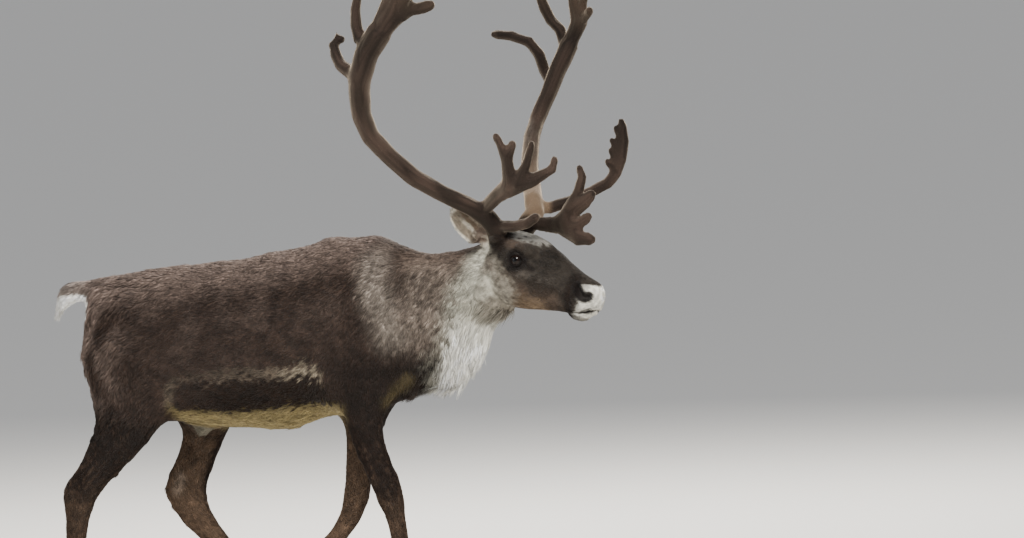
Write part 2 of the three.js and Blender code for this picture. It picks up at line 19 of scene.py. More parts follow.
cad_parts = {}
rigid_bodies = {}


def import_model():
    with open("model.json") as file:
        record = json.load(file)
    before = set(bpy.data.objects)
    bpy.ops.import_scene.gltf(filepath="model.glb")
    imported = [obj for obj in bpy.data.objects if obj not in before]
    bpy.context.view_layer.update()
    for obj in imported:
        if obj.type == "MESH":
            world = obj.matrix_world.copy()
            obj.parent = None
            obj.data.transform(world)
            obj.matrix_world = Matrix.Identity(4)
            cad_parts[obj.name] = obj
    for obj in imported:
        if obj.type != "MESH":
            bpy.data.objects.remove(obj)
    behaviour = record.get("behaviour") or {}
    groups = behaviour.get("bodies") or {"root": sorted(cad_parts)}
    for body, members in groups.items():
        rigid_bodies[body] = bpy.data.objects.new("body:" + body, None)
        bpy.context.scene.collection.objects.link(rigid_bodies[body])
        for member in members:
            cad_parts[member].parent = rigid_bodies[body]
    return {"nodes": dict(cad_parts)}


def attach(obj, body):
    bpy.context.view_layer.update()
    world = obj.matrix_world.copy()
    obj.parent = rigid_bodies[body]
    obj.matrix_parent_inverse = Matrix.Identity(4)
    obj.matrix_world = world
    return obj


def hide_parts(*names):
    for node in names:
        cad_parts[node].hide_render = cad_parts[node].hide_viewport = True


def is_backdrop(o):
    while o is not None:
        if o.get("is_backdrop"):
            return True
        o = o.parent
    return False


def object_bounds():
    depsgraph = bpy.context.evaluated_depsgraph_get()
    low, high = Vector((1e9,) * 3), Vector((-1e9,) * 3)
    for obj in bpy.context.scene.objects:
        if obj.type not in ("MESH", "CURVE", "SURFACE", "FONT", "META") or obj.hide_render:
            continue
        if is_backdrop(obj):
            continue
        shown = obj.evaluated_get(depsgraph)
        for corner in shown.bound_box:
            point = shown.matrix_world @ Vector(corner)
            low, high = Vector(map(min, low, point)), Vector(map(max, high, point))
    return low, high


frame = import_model()
CAD_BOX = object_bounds()
rng = np.random.default_rng(11)
MM = 0.001
print("frame box", [[round(value, 3) for value in corner] for corner in CAD_BOX])

# %% [markdown]
# ## Two sets of axes to think in
# An animal is easiest to describe from its own middle. The body's axes start on the floor in its
# middle plane, and the head's axes start between the eyes, with x running to the nose. A marking
# that is written once in these axes appears on both sides, because the animal is symmetrical.

# %% The body's and the head's own axes
BODY_AT = Vector((-0.156346, -0.091219, 0.0))
EYES_AT = BODY_AT + Vector((0.794, -0.030, 1.083))
HEAD = (
    Matrix.Translation(EYES_AT)
    @ Matrix.Rotation(math.radians(-13), 4, "Z")
    @ Matrix.Rotation(math.radians(19.6), 4, "Y")
    @ Matrix.Rotation(math.radians(-7), 4, "X")
)
HEAD_TURN = np.array(HEAD.to_3x3())
BODY_ORIGIN = np.array(BODY_AT)
HEAD_ORIGIN = np.array(EYES_AT)


def in_body(points):
    """Points in millimetres in the body's axes."""
    return (points - BODY_ORIGIN) / MM


def in_head(points):
    """Points in millimetres in the head's axes."""
    return (points - HEAD_ORIGIN) @ HEAD_TURN / MM


def from_body(points):
    return np.array(points, float) * MM + BODY_ORIGIN


def from_head(points):
    return np.array(points, float) * MM @ HEAD_TURN.T + HEAD_ORIGIN


def soft(values, low, high):
    """0 below low, 1 above high, and a smooth rise between them."""
    share = np.clip((values - low) / (high - low), 0, 1)
    return share * share * (3 - 2 * share)


def unit(vectors):
    return vectors / np.maximum(np.linalg.norm(vectors, axis=1), 1e-9)[:, None]


def off_line(points, line):
    """How far each point is from a line of straight stretches."""
    line = np.array(line, float)
    nearest = np.full(len(points), np.inf)
    for start, end in zip(line[:-1], line[1:]):
        along = end - start
        share = np.clip((points - start) @ along / (along @ along), 0, 1)
        aside = points - start - share[:, None] * along
        nearest = np.minimum(nearest, np.linalg.norm(aside, axis=1))
    return nearest


WAVES = 14


def mottle(points, size, seed):
    """A smooth random field from about -1 to 1, whose patches are about size across."""
    waves = np.random.default_rng(seed)
    total = np.zeros(len(points))
    for _ in range(WAVES):
        way = waves.normal(size=3)
        way *= (0.7 + 0.7 * waves.random()) * math.pi / size / np.linalg.norm(way)
        total += np.sin(points @ way + waves.random() * 2 * math.pi)
    return total / math.sqrt(WAVES)


def paint(hex_colour):
    """A colour as an artist writes it, turned into the linear values that light works with."""
    parts = np.array([int(hex_colour[i : i + 2], 16) for i in (1, 3, 5)]) / 255
    return np.where(parts <= 0.04045, parts / 12.92, ((parts + 0.055) / 1.055) ** 2.4)


# %% [markdown]
# ## Camera, floor and light
# The picture was taken with a long lens, almost from the animal's right side, a little from the
# front and slightly from above, and it is tilted by a small angle, while the model stands level.
# A camera that stands far away with a long lens keeps both sides of the animal at one scale.
# A pale floor and three wide soft lamps give a quiet studio.

# %% The camera, so far away that it shows hardly any perspective
AZIMUTH, ELEVATION, ROLL = math.radians(22), math.radians(4), math.radians(2.5)
VIEW_WIDTH = 3.0208
DISTANCE = 60.0
FAR_LIMIT = 400
SENSOR_WIDTH = 36
AIM_ACROSS, AIM_UP = 0.6254, 1.065
level_part = math.cos(ELEVATION)
right = Vector((math.cos(AZIMUTH), math.sin(AZIMUTH), 0))
look = Vector((-math.sin(AZIMUTH) * level_part, math.cos(AZIMUTH) * level_part, -math.sin(ELEVATION)))
up = right.cross(look)
tilted_right = right * math.cos(ROLL) - up * math.sin(ROLL)
tilted_up = right * math.sin(ROLL) + up * math.cos(ROLL)
aim = BODY_AT + tilted_right * AIM_ACROSS + tilted_up * AIM_UP
lens = bpy.data.cameras.new("camera")
lens.sensor_width = SENSOR_WIDTH
lens.lens = SENSOR_WIDTH * DISTANCE / VIEW_WIDTH
lens.clip_end = FAR_LIMIT
camera = bpy.data.objects.new("camera", lens)
axes = Matrix((tilted_right, tilted_up, -look)).transposed().to_4x4()
camera.matrix_world = Matrix.Translation(aim - look * DISTANCE) @ axes
bpy.context.scene.collection.objects.link(camera)
bpy.context.scene.camera = camera
print("lens", round(lens.lens, 1), "mm")


# %% Materials, pieces and their nodes
def new_material(name, roughness, colour=None):
    """A material and its shader."""
    material = bpy.data.materials.new(name)
    material.use_nodes = True
    shader = material.node_tree.nodes["Principled BSDF"]
    shader.inputs["Roughness"].default_value = roughness
    if colour is not None:
        shader.inputs["Base Color"].default_value = (*paint(colour), 1)
    return material, shader


def new_node(material, kind, **settings):
    """A node with its sockets set: a socket's name is written with _ for each space."""
    node = material.node_tree.nodes.new(kind)
    for socket, value in settings.items():
        node.inputs[socket.replace("_", " ")].default_value = value
    return node


def new_piece(name, mesh, material=None):
    piece = bpy.data.objects.new(name, mesh)
    bpy.context.scene.collection.objects.link(piece)
    if material is not None:
        mesh.materials.clear()
        mesh.materials.append(material)
    return piece


# %% The floor and the room's own light
FLOOR_RADIUS = 150
bm = bmesh.new()
bmesh.ops.create_circle(bm, cap_ends=True, segments=64, radius=FLOOR_RADIUS)
floor_mesh = bpy.data.meshes.new("floor")
bm.to_mesh(floor_mesh)
bm.free()
floor_finish, _ = new_material("pale_floor", 0.9, "#e4e2dd")
floor = new_piece("floor", floor_mesh, floor_finish)
floor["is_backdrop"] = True
print("floor reaches", FLOOR_RADIUS, "m")

ROOM_COLOUR, ROOM_STRENGTH = (0.93, 0.95, 1.0, 1), 0.52
world = bpy.data.worlds.new("studio")
world.use_nodes = True
world.node_tree.nodes["Background"].inputs["Color"].default_value = ROOM_COLOUR
world.node_tree.nodes["Background"].inputs["Strength"].default_value = ROOM_STRENGTH
bpy.context.scene.world = world

# %% Three wide lamps
LAMPS_FACE = Vector((0, 0, 0.9))


def lamp(name, place, size, power, colour):
    """A square soft lamp that looks at the middle of the animal."""
    light = bpy.data.lights.new(name, "AREA")
    light.size = size
    light.energy = power
    light.color = colour
    holder = bpy.data.objects.new(name, light)
    turn = (LAMPS_FACE - Vector(place)).to_track_quat("-Z", "Y")
    holder.matrix_world = Matrix.Translation(place) @ turn.to_matrix().to_4x4()
    bpy.context.scene.collection.objects.link(holder)
    print(name, "at", round((LAMPS_FACE - Vector(place)).length, 1), "m with", power, "W")


lamp("key_lamp", (1.7, -3.9, 4.9), 1.8, 500, (1.0, 0.97, 0.92))
lamp("fill_lamp", (-4.8, -3.8, 2.2), 3.2, 70, (0.94, 0.96, 1.0))
lamp("rim_lamp", (-0.6, 4.2, 4.6), 2.0, 620, (1.0, 0.96, 0.9))

# %% [markdown]
# ## One skin for all the flesh
# The frame's flesh is many solids with hairline gaps, which would show as seams. Copies of them are
# swelled by half a millimetre so that they touch, and a voxel remesh turns them into one closed
# surface. The eyes and hooves are copied in as well, so that the skin closes behind them.
# A decimation spares the head, which needs fine folds, and thins the plain body.


# %% Helpers for reading and writing a mesh as arrays
def read(items, what, width=1, kind=np.float32):
    """What a mesh keeps for each of these items, in rows of this width."""
    values = np.empty(len(items) * width, kind)
    items.foreach_get(what, values)
    return values.reshape(-1, width) if width > 1 else values


def read_points(mesh):
    return read(mesh.vertices, "co", 3).astype(float)


def read_normals(mesh):
    return read(mesh.vertices, "normal", 3).astype(float)


def read_edges(mesh):
    return read(mesh.edges, "vertices", 2, np.int32)


def read_corners(mesh):
    return read(mesh.loops, "vertex_index", kind=np.int32)


def read_layout(mesh):
    return read(mesh.uv_layers["OFBake"].data, "uv", 2).astype(float)


def write_points(mesh, points):
    mesh.vertices.foreach_set("co", points.astype(np.float32).ravel())
    mesh.update()


# %% Helpers for relaxing a surface
def relaxed(values, edges, strength, rounds):
    """Moves each vertex's values towards the mean of its neighbours, by its own strength."""
    first, second = edges.T
    size = len(values)
    count = np.maximum(np.bincount(edges.ravel(), minlength=size), 1)[:, None]

    def neighbours(column):
        return np.bincount(first, column[second], size) + np.bincount(second, column[first], size)

    for _ in range(rounds):
        total = np.stack([neighbours(column) for column in values.T], 1)
        values = values + strength[:, None] * (total / count - values)
    return values


def rounded(mesh, rounds):
    """Relaxes facets away, least on thin tips, then gives back the girth that this took."""
    before, edges = read_points(mesh), read_edges(mesh)

    def evened(values, strength, rounds):
        return relaxed(values, edges, np.full(len(before), strength), rounds)

    trial = evened(before, 0.6, rounds)
    shrunk = evened(np.linalg.norm(before - trial, axis=1)[:, None], 0.6, 6)[:, 0]
    after = relaxed(before, edges, 0.05 + 0.55 * soft(shrunk, 5 * MM, 2.4 * MM), rounds)
    write_points(mesh, after)
    normals = unit(evened(read_normals(mesh), 0.5, 3))
    lost = evened(((before - after) * normals).sum(1)[:, None], 0.7, rounds)
    after = evened(after + normals * lost, 0.5, 2)
    write_points(mesh, after)
    return after, normals


# %% Helpers for making and unwrapping a closed surface
def settled(piece):
    """Turns a piece's live modifiers into its own mesh."""
    depsgraph = bpy.context.evaluated_depsgraph_get()
    mesh = bpy.data.meshes.new_from_object(piece.evaluated_get(depsgraph))
    piece.modifiers.clear()
    piece.data = mesh
    return mesh


def merged_copy(name, nodes, swell):
    """One mesh of copies of these nodes, with shared corners merged and pushed outwards."""
    copy = bmesh.new()
    for node in nodes:
        copy.from_mesh(frame["nodes"][node].data)
    bmesh.ops.remove_doubles(copy, verts=copy.verts, dist=0.00001)
    copy.normal_update()
    for vertex in copy.verts:
        vertex.co += vertex.normal * swell
    mesh = bpy.data.meshes.new(name)
    copy.to_mesh(mesh)
    copy.free()
    return mesh


def voxelled(piece, size):
    remesh = piece.modifiers.new("remesh", "REMESH")
    remesh.mode = "VOXEL"
    remesh.voxel_size = size
    return settled(piece)


def unwrapped(piece):
    """Lays the piece's own surface out flat, as islands that don't overlap."""
    for other in bpy.data.objects:
        other.select_set(other == piece)
    bpy.context.view_layer.objects.active = piece
    while piece.data.uv_layers:
        piece.data.uv_layers.remove(piece.data.uv_layers[0])
    piece.data.uv_layers.new(name="OFBake")
    bpy.ops.object.mode_set(mode="EDIT")
    bpy.ops.mesh.select_all(action="SELECT")
    bpy.ops.uv.smart_project(angle_limit=math.radians(62), island_margin=0.001)
    bpy.ops.object.mode_set(mode="OBJECT")


# %% The closed skin, fine on the head and coarser on the body
FEET = ("hind_right", "hind_left", "fore_right", "fore_left")
SIDES = (("right", -1), ("left", 1))
FLESH = ["trunk", "neck", "head", "tail", "ear_right", "ear_left"]
FLESH += [f"leg_{foot}_{part}" for foot in FEET for part in ("upper", "lower")]
HORN = [f"{kind}_{foot}_{side}" for kind in ("hoof", "dewclaw") for foot in FEET for side, _ in SIDES]
EYES = ["eye_right", "eye_left"]
SKIN_VOXEL = 0.0032
SKIN_SWELL = 0.0005
PLAIN_SHARE = 0.19
# how far back the head and the tips of its ears are spared from thinning, in the head's axes
HEAD_FROM, EARS_FROM = -170, -230
# (place in the head's axes, radius): balls that fill the gaps between ear, antler and skull
PLUGS = [((-100, 51, 34), 0.033), ((-146, 80, 18), 0.018), ((-142, 64, 50), 0.023)]

skin = new_piece("skin", merged_copy("skin", FLESH + HORN + EYES, SKIN_SWELL))
plug = bmesh.new()
plug.from_mesh(skin.data)
for spot, radius in PLUGS:
    for _, side in SIDES:
        at = Matrix.Translation(HEAD @ (Vector(spot) * Vector((1, side, 1)) * MM))
        bmesh.ops.create_icosphere(plug, subdivisions=3, radius=radius, matrix=at)
plug.to_mesh(skin.data)
plug.free()
voxelled(skin, SKIN_VOXEL)
x, y, z = in_head(read_points(skin.data)).T
y = np.abs(y)
spared = (x > HEAD_FROM) & (y < 200) & (z > -160) & (z < 120)
spared |= (x > EARS_FROM) & (x < HEAD_FROM + 1) & (y > 60) & (z > 0)
plain = skin.vertex_groups.new(name="plain")
plain.add(np.where(~spared)[0].tolist(), 1.0, "REPLACE")
thin = skin.modifiers.new("thin", "DECIMATE")
thin.ratio = PLAIN_SHARE
thin.vertex_group = "plain"
thin.vertex_group_factor = 10
settled(skin)
print("skin faces", len(skin.data.polygons))

# %% [markdown]
# ## Finer faces where the face needs them
# A lid's edge, a nostril and the lips are only a millimetre or two across. Cutting only the faces
# around them in four keeps the skin light and still lets these folds be real geometry.

# %% Cutting the faces round the eyes, the nostrils and the lips
# (place in the head's axes, reach in millimetres, rounds of cutting)
FINE_SPOTS = [((2, side * 86, 0), 33, 2) for _, side in SIDES]
FINE_SPOTS += [((232, side * 44, -20), 34, 1) for _, side in SIDES]
FINE_SPOTS += [((258, 0, -70), 52, 1)]


def edges_near(shape, centre, reach):
    """The edges with both ends inside a ball."""
    inside = {vertex for vertex in shape.verts if (vertex.co - centre).length < reach}
    return [edge for edge in shape.edges if inside.issuperset(edge.verts)]


def largest_island(shape):
    """The vertices of the largest part of the mesh that hangs together."""
    left, largest = set(shape.verts), set()
    while left:
        seed = left.pop()
        island, front = {seed}, [seed]
        while front:
            vertex = front.pop()
            for edge in vertex.link_edges:
                other = edge.other_vert(vertex)
                if other not in island:
                    island.add(other)
                    front.append(other)
        left -= island
        if len(island) > len(largest):
            largest = island
    return largest


fine = bmesh.new()
fine.from_mesh(skin.data)
for spot, reach, rounds in FINE_SPOTS:
    for turn in range(rounds):
        edges = edges_near(fine, HEAD @ (Vector(spot) * MM), (reach - 6 * turn) * MM)
        bmesh.ops.subdivide_edges(fine, edges=edges, cuts=1, use_grid_fill=True)
bmesh.ops.triangulate(fine, faces=fine.faces)
kept = largest_island(fine)
bmesh.ops.delete(fine, geom=[v for v in fine.verts if v not in kept], context="VERTS")
fine.to_mesh(skin.data)
fine.free()
print("skin triangles after the fine cuts", len(skin.data.polygons))

# %% [markdown]
# ## Knowing which part of the animal each point belongs to
# Coat length, depth and softness differ between trunk, neck, face and legs. Each skin point takes
# the name of the frame solid it lies nearest to, and these names are then blurred over the surface,
# so that one kind of coat passes into the next without a line.

# %% Soft shares of each part of the body over the skin
PARTS = ("trunk", "neck", "head", "ear", "tail", "thigh", "shank", "hoof")
PART_OF = {"trunk": 0, "neck": 1, "head": 2}
PART_OF |= {f"eye_{side}": 2 for side, _ in SIDES}
PART_OF |= {f"ear_{side}": 3 for side, _ in SIDES}
PART_OF["tail"] = 4
PART_OF |= {f"leg_{foot}_upper": 5 for foot in FEET}
PART_OF |= {f"leg_{foot}_lower": 6 for foot in FEET}
PART_OF |= {name: 7 for name in HORN}
solid_parts, corner_points, corner_faces = [], [], []
for node, part in PART_OF.items():
    mesh = frame["nodes"][node].data
    before = len(corner_points)
    corner_points += [v.co.copy() for v in mesh.vertices]
    corner_faces += [[before + i for i in p.vertices] for p in mesh.polygons]
    solid_parts += [part] * len(mesh.polygons)
nearest_solid = BVHTree.FromPolygons(corner_points, corner_faces)
P = read_points(skin.data)
EDGES = read_edges(skin.data)
labels = np.array([solid_parts[nearest_solid.find_nearest(point)[2]] for point in P])
shares = np.eye(len(PARTS))[labels]
shares = relaxed(shares, EDGES, np.full(len(P), 0.6), 14)
print("skin points per part", dict(zip(PARTS, np.bincount(labels, minlength=len(PARTS)).tolist())))


def per_part(**values):
    """A value for each part, in the order of PARTS."""
    return np.array([values[part] for part in PARTS], float)


# %% [markdown]
# ## Rounding the facets and sinking the skin under the coat
# The frame's solids are faceted and reach out to the tips of the hair. Relaxing takes the facets
# away, more on the wide trunk than on the face, and the girth that this takes is given back, evenly
# blurred. Each point then sinks by the depth of the coat that will grow there: a few millimetres on
# face and legs, much more under the throat mane.

# %% Relaxing and sinking
ROUNDING = per_part(trunk=0.7, neck=0.7, head=0.34, ear=0.25, tail=0.5, thigh=0.65, shank=0.62, hoof=0.3)
BROAD_ROUNDING = per_part(trunk=0.7, neck=0.7, head=0, ear=0, tail=0, thigh=0.6, shank=0.1, hoof=0)
COAT_DEPTH = per_part(trunk=4.5, neck=8, head=1.8, ear=0.8, tail=3, thigh=3, shank=1.8, hoof=3.5)
FINE_ROUNDS, BROAD_ROUNDS, GIVEN_BACK_ROUNDS = 26, 80, 110
MANE_DEPTH = 26
faceted = P
P = relaxed(P, EDGES, shares @ ROUNDING, FINE_ROUNDS)
P = relaxed(P, EDGES, shares @ BROAD_ROUNDING, BROAD_ROUNDS)
write_points(skin.data, P)
N = read_normals(skin.data)
lost = ((faceted - P) * N).sum(1)[:, None]
lost = relaxed(lost, EDGES, shares @ ROUNDING, FINE_ROUNDS)
P = P + N * relaxed(lost, EDGES, shares @ BROAD_ROUNDING, GIVEN_BACK_ROUNDS)
body = in_body(P)


def mane_share(body_points):
    """1 under the long white hair of the throat, falling to 0 around it."""
    throat = [(490, 0, 706), (540, 0, 728), (606, 0, 805), (668, 0, 905)]
    return soft(off_line(body_points * [1, 0.75, 1], throat), 115, 40)


depth = shares @ COAT_DEPTH
depth += MANE_DEPTH * mane_share(body) * (1 - shares[:, 2])
P = P - N * depth[:, None] * MM
P = relaxed(P, EDGES, 0.5 * (1 - shares[:, 2] - shares[:, 3]).clip(0, 1), 4)
write_points(skin.data, P)
print("coat depth", round(depth.min(), 1), "to", round(depth.max(), 1), "mm")

# %% [markdown]
# ## Sculpting by named strokes
# A sculptor adds a bone or a fold with one stroke. Here a stroke is a line in the body's or the
# head's axes with a width and a height: points near it move along their normals by a soft bell.
# A stroke on the side of the animal is written in side view and mirrored.


# %% The stroke tool
def stroke(points, normals, line, width, height, side_view=True):
    """How far a stroke moves each point, in millimetres."""
    if side_view:
        flat = points * [1, 0, 1]
        line = [(x, 0, z) for x, z in line]
        facing = soft(np.abs(normals[:, 1]), 0.15, 0.55)
    else:
        flat = points
        facing = 1.0
    return height * np.exp(-((off_line(flat, line) / width) ** 2)) * facing


# %% Bones and muscles of the trunk and thighs
# (line in side view, width, height)
TRUNK_STROKES = [
    ([(270, 1105), (330, 930), (372, 800)], 34, 7),
    ([(215, 1080), (235, 900), (262, 760)], 26, -6),
    ([(330, 800), (250, 720), (190, 690)], 40, 6),
    ([(-250, 1000), (-330, 930), (-300, 820)], 60, -7),
    ([(-400, 1040), (-440, 960)], 38, 6),
    ([(-470, 900), (-430, 760), (-380, 660)], 70, 8),
    ([(-350, 760), (-318, 690), (-330, 640)], 26, -7),
    ([(-560, 900), (-590, 760), (-590, 650)], 34, -4),
    ([(-300, 690), (-380, 650)], 22, 5),
    ([(120, 1000), (70, 760)], 12, 2.2),
    ([(55, 1000), (0, 750)], 12, 2.2),
    ([(-15, 1000), (-75, 740)], 12, 2.2),
    ([(-85, 990), (-140, 730)], 12, 2.0),
    ([(-150, 980), (-205, 740)], 12, 1.6),
]
body = in_body(P)
moved = np.zeros(len(P))
trunk_like = shares[:, 0] + shares[:, 5] + 0.5 * shares[:, 1]
for line, width, height in TRUNK_STROKES:
    moved += stroke(body, N, line, width, height) * trunk_like

# %% Tendons, bones and joints of the lower legs
# (line in side view, width, height), for each leg
LEG_STROKES = {
    "hind_right": [
        ([(-676, 415), (-612, 520), (-580, 590)], 8, 4.5),
        ([(-640, 436), (-596, 520), (-560, 570)], 12, -8.0),
        ([(-684, 428), (-690, 400)], 15, 3.5),
        ([(-612, 380), (-618, 350)], 14, 2.5),
        ([(-672, 330), (-668, 190)], 6, -2.2),
        ([(-686, 330), (-684, 190)], 7, 1.4),
    ],
    "hind_left": [
        ([(-436, 420), (-410, 500), (-380, 560)], 9, 4.5),
        ([(-402, 426), (-376, 500), (-350, 550)], 12, -7.0),
        ([(-450, 418), (-446, 398)], 15, 3.5),
        ([(-330, 392), (-318, 366)], 14, 2.5),
        ([(-382, 330), (-268, 214)], 6, -2.2),
    ],
    "fore_right": [
        ([(352, 470), (390, 385)], 16, 3.0),
        ([(318, 400), (312, 376)], 13, 2.6),
        ([(300, 560), (330, 460)], 12, -2.6),
        ([(362, 330), (372, 190)], 6, -2.2),
        ([(350, 330), (358, 190)], 7, 1.4),
    ],
    "fore_left": [
        ([(200, 440), (190, 380)], 16, 3.0),
        ([(126, 410), (124, 380)], 13, 2.6),
        ([(170, 560), (160, 460)], 12, -2.6),
        ([(120, 316), (60, 236)], 6, -2.2),
    ],
}
LEG_SIDE = {"hind_right": -1, "hind_left": 1, "fore_right": -1, "fore_left": 1}
LEG_SPREAD = 98
SHEATH = [(-274, 0, 610), (-257, 0, 588)]
SPINE = [(-560, 0, 1040), (-400, 0, 1074), (-200, 0, 1097), (90, 0, 1140)]
SPINE += [(240, 0, 1168), (370, 0, 1118), (480, 0, 1112), (560, 0, 1120)]
moved += stroke(body, N, SHEATH, 17, 24, side_view=False)
moved += stroke(body, N, SPINE, 90, 12, side_view=False) * soft(N[:, 2], 0.1, 0.6)
leg_like = shares[:, 5] + shares[:, 6]
for foot, strokes in LEG_STROKES.items():
    own = leg_like * soft(body[:, 1] * LEG_SIDE[foot], 20, 45)
    for line, width, height in strokes:
        moved += stroke(body, N, line, width, height) * own
P = P + N * moved[:, None] * MM
print("body moved by", round(moved.min(), 1), "to", round(moved.max(), 1), "mm")

# %% The bones, folds and lips of the face
# (line in the head's side view, width, height)
FACE_STROKES = [
    ([(-60, 34), (-20, 40), (26, 34)], 13, 6),
    ([(34, 2), (60, -16), (92, -26)], 7, -3.4),
    ([(30, -34), (-20, -44), (-90, -26)], 11, 3.2),
    ([(-70, 10), (-96, -10)], 17, -5),
    ([(-40, -82), (-10, -110), (-60, -120)], 26, 3.5),
    ([(44, -58), (110, -60), (150, -56)], 17, -3.2),
    ([(70, 26), (130, 8), (170, -2)], 12, -3.0),
    ([(66, -98), (120, -102), (170, -94)], 9, 2.4),
    ([(176, -84), (206, -84), (232, -80)], 4.0, -3.0),
    ([(196, -66), (226, -64), (250, -60)], 12, 2.6),
    ([(200, -98), (236, -94)], 10, 2.4),
    ([(186, -10), (192, -46), (196, -70)], 8, -1.6),
    ([(212, 12), (246, 10)], 9, 1.6),
    ([(20, -28), (-6, -31), (-30, -24)], 4.5, 1.6),
    ([(22, -36), (-6, -40), (-34, -32)], 3.2, -1.3),
    ([(24, 24), (-4, 27), (-30, 18)], 3.4, -1.5),
]
NOSTRIL = [(204, 41, -6), (214, 43, -16), (228, 44, -27), (243, 42, -28), (252, 39, -22)]
NOSTRIL_RIM = [(204, 38, 8), (226, 38, 3), (245, 37, -4), (257, 34, -16), (254, 35, -32)]
MOUTH = [(214, 37, -87), (233, 37, -80), (250, 32, -71), (264, 24, -61), (275, 0, -56)]
# (line on the left side, how far the stroke lies from it, width, height)
SIDED_STROKES = [
    (NOSTRIL_RIM, (0, 0, 0), 7, 2.6),
    (NOSTRIL, (0, 0, 0), 9.0, -13),
    (MOUTH, (0, 0, 0), 3.0, -4.2),
    (MOUTH, (0, 0, 9), 6.5, 1.8),
    (MOUTH, (-4, 0, -10), 6.5, 1.8),
]
head = in_head(P)
head_normals = N @ HEAD_TURN
moved = np.zeros(len(P))
for line, width, height in FACE_STROKES:
    moved += stroke(head, head_normals, line, width, height) * shares[:, 2]
openings = np.full((len(P), 2), 99.0)
for _, side in SIDES:
    mirror = np.array([1, side, 1])
    sided = soft(head[:, 1] * side, -4, 6)
    for column, line in enumerate((NOSTRIL, MOUTH)):
        openings[:, column] = np.minimum(openings[:, column], off_line(head, np.array(line) * mirror))
    for line, shift, width, height in SIDED_STROKES:
        line = np.array(line) * mirror + shift
        moved += stroke(head, head_normals, line, width, height, side_view=False) * sided
P = P + N * moved[:, None] * MM
print("face moved by", round(moved.min(), 1), "to", round(moved.max(), 1), "mm")

# %% [markdown]
# ## Lids that fit the eyeballs
# A lid is a thin sheet that slides over the ball, so it follows the ball's own curve. Every skin
# point near an eye is moved along its line from the ball's centre: outside the almond opening it
# rests just above the ball, and inside the opening it drops behind the ball's surface.

# %% Shaping both pairs of lids
EYE_RADIUS = 21.0
EYE_SIDE = 67.0
EYE_FACES = (0.16, 0.97, 0.1)
EYE_REACH = 60
OPENING = (17.0, 11.6)
LID_THICK = 2.0
LID_DROP = 5
FISSURE_TURN = math.radians(15)
lid_margin = np.full(len(P), 9.0)
head = in_head(P)
for _, side in SIDES:
    outward = np.array(EYE_FACES) * [1, side, 1]
    outward /= np.linalg.norm(outward)
    forward = np.array([math.cos(FISSURE_TURN), 0, math.sin(FISSURE_TURN)])
    forward -= outward * (forward @ outward)
    forward /= np.linalg.norm(forward)
    upward = np.cross(outward, forward) * -side
    from_eye = head - [0, side * EYE_SIDE, 0]
    far = np.linalg.norm(from_eye, axis=1)
    along, above = from_eye @ forward, from_eye @ upward
    in_front = soft(from_eye @ outward, 0, 6)
    almond = np.sqrt((np.abs(along) / OPENING[0]) ** 1.8 + (np.abs(above) / OPENING[1]) ** 2)
    rim = EYE_RADIUS + LID_THICK + 1.2 * soft(almond, 1.0, 1.2) * soft(above, 0, 6)
    lidded = EYE_RADIUS - LID_DROP + (rim - EYE_RADIUS + LID_DROP) * soft(almond, 0.93, 1.05)
    hold = in_front * soft(np.hypot(along, above), 36, 19)
    wanted = far + (lidded - far) * hold
    near_eye = far < EYE_REACH
    scale = np.where(near_eye, wanted / np.maximum(far, 1), 1)
    head = head + from_eye * (scale - 1)[:, None]
    on_lid = near_eye & (in_front > 0.5)
    lid_margin = np.where(on_lid, np.minimum(lid_margin, almond), lid_margin)
P = from_head(head)
write_points(skin.data, P)
N = read_normals(skin.data)
print("lids shaped, points at a margin:", int((np.abs(lid_margin - 1) < 0.12).sum()))

# %% [markdown]
# ## An unwrap that the coat shares
# The skin is laid out flat once. Each lock of hair later takes a tiny patch of this same layout at
# the place of its root, so whatever colour the skin has there belongs to the lock as well.

# %% Unwrapping the skin and taking stock of its triangles
unwrapped(skin)
skin_mesh = skin.data
skin_mesh.shade_smooth()
CORNERS = read_corners(skin_mesh).reshape(-1, 3)
LAYOUT = read_layout(skin_mesh).reshape(-1, 3, 2)
A, B, C = (P[CORNERS[:, i]] for i in range(3))
AREA = np.linalg.norm(np.cross(B - A, C - A), axis=1) / 2
for part, area in zip(PARTS, AREA @ shares[CORNERS].mean(1)):
    print(f"{part}: {area:.3f} square metres")

# %% [markdown]
# ## Markings as named shapes
# The coat is dark brown with a pale line over a dark flank stripe, a cream belly, a grey neck that
# turns white in the throat mane, a pale muzzle ring and a white tail and rump patch. Each marking is
# a soft mask in the body's or the head's axes, with its edge made ragged by a small random field,
# and one function lays them over each other. Skin and hair both ask it for their colour. Some layers
# are painted light and shade: a pale band along the top of the back, a belly cream darkened as shade,
# grey shade on the muzzle, and shade and a highlight inside the ears.

# %% The coat's colours
COAT = {
    name: paint(value)
    for name, value in {
        "brown": "#352a24",
        # the back's paler brown, which is also painted top light along the top of the back
        "back": "#7d6d64",
        "near_black": "#1b1410",
        "leg": "#241b16",
        "leg_pale": "#5f4d3e",
        "shoulder_grey": "#8a8177",
        "neck_grey": "#8a7e73",
        "neck_top": "#67584e",
        "neck_pale": "#adab9d",
        "mane_white": "#f6f4ec",
        # cream, darkened and tinted olive as painted shade and green bounce light under the belly
        "cream_darkened_as_shade": "#8a7c56",
        "line": "#958a77",
        "stripe": "#211812",
        "white": "#f6f4ee",
        "tail_brown": "#6f5c50",
        "face": "#302b26",
        "forehead": "#4d4138",
        "crown": "#aeaba2",
        "cheek_pale": "#878175",
        "jaw_brown": "#4e4137",
        "jaw_tan": "#7d6a54",
        "muzzle_white": "#efece0",
        # painted shade on the white muzzle
        "muzzle_painted_shade": "#8d8a82",
        "bare_black": "#151110",
        "ear_grey": "#8f8576",
        # the ear's pale rim, also laid as a painted highlight on a ridge inside the ear
        "ear_rim": "#e6e0d2",
    }.items()
}

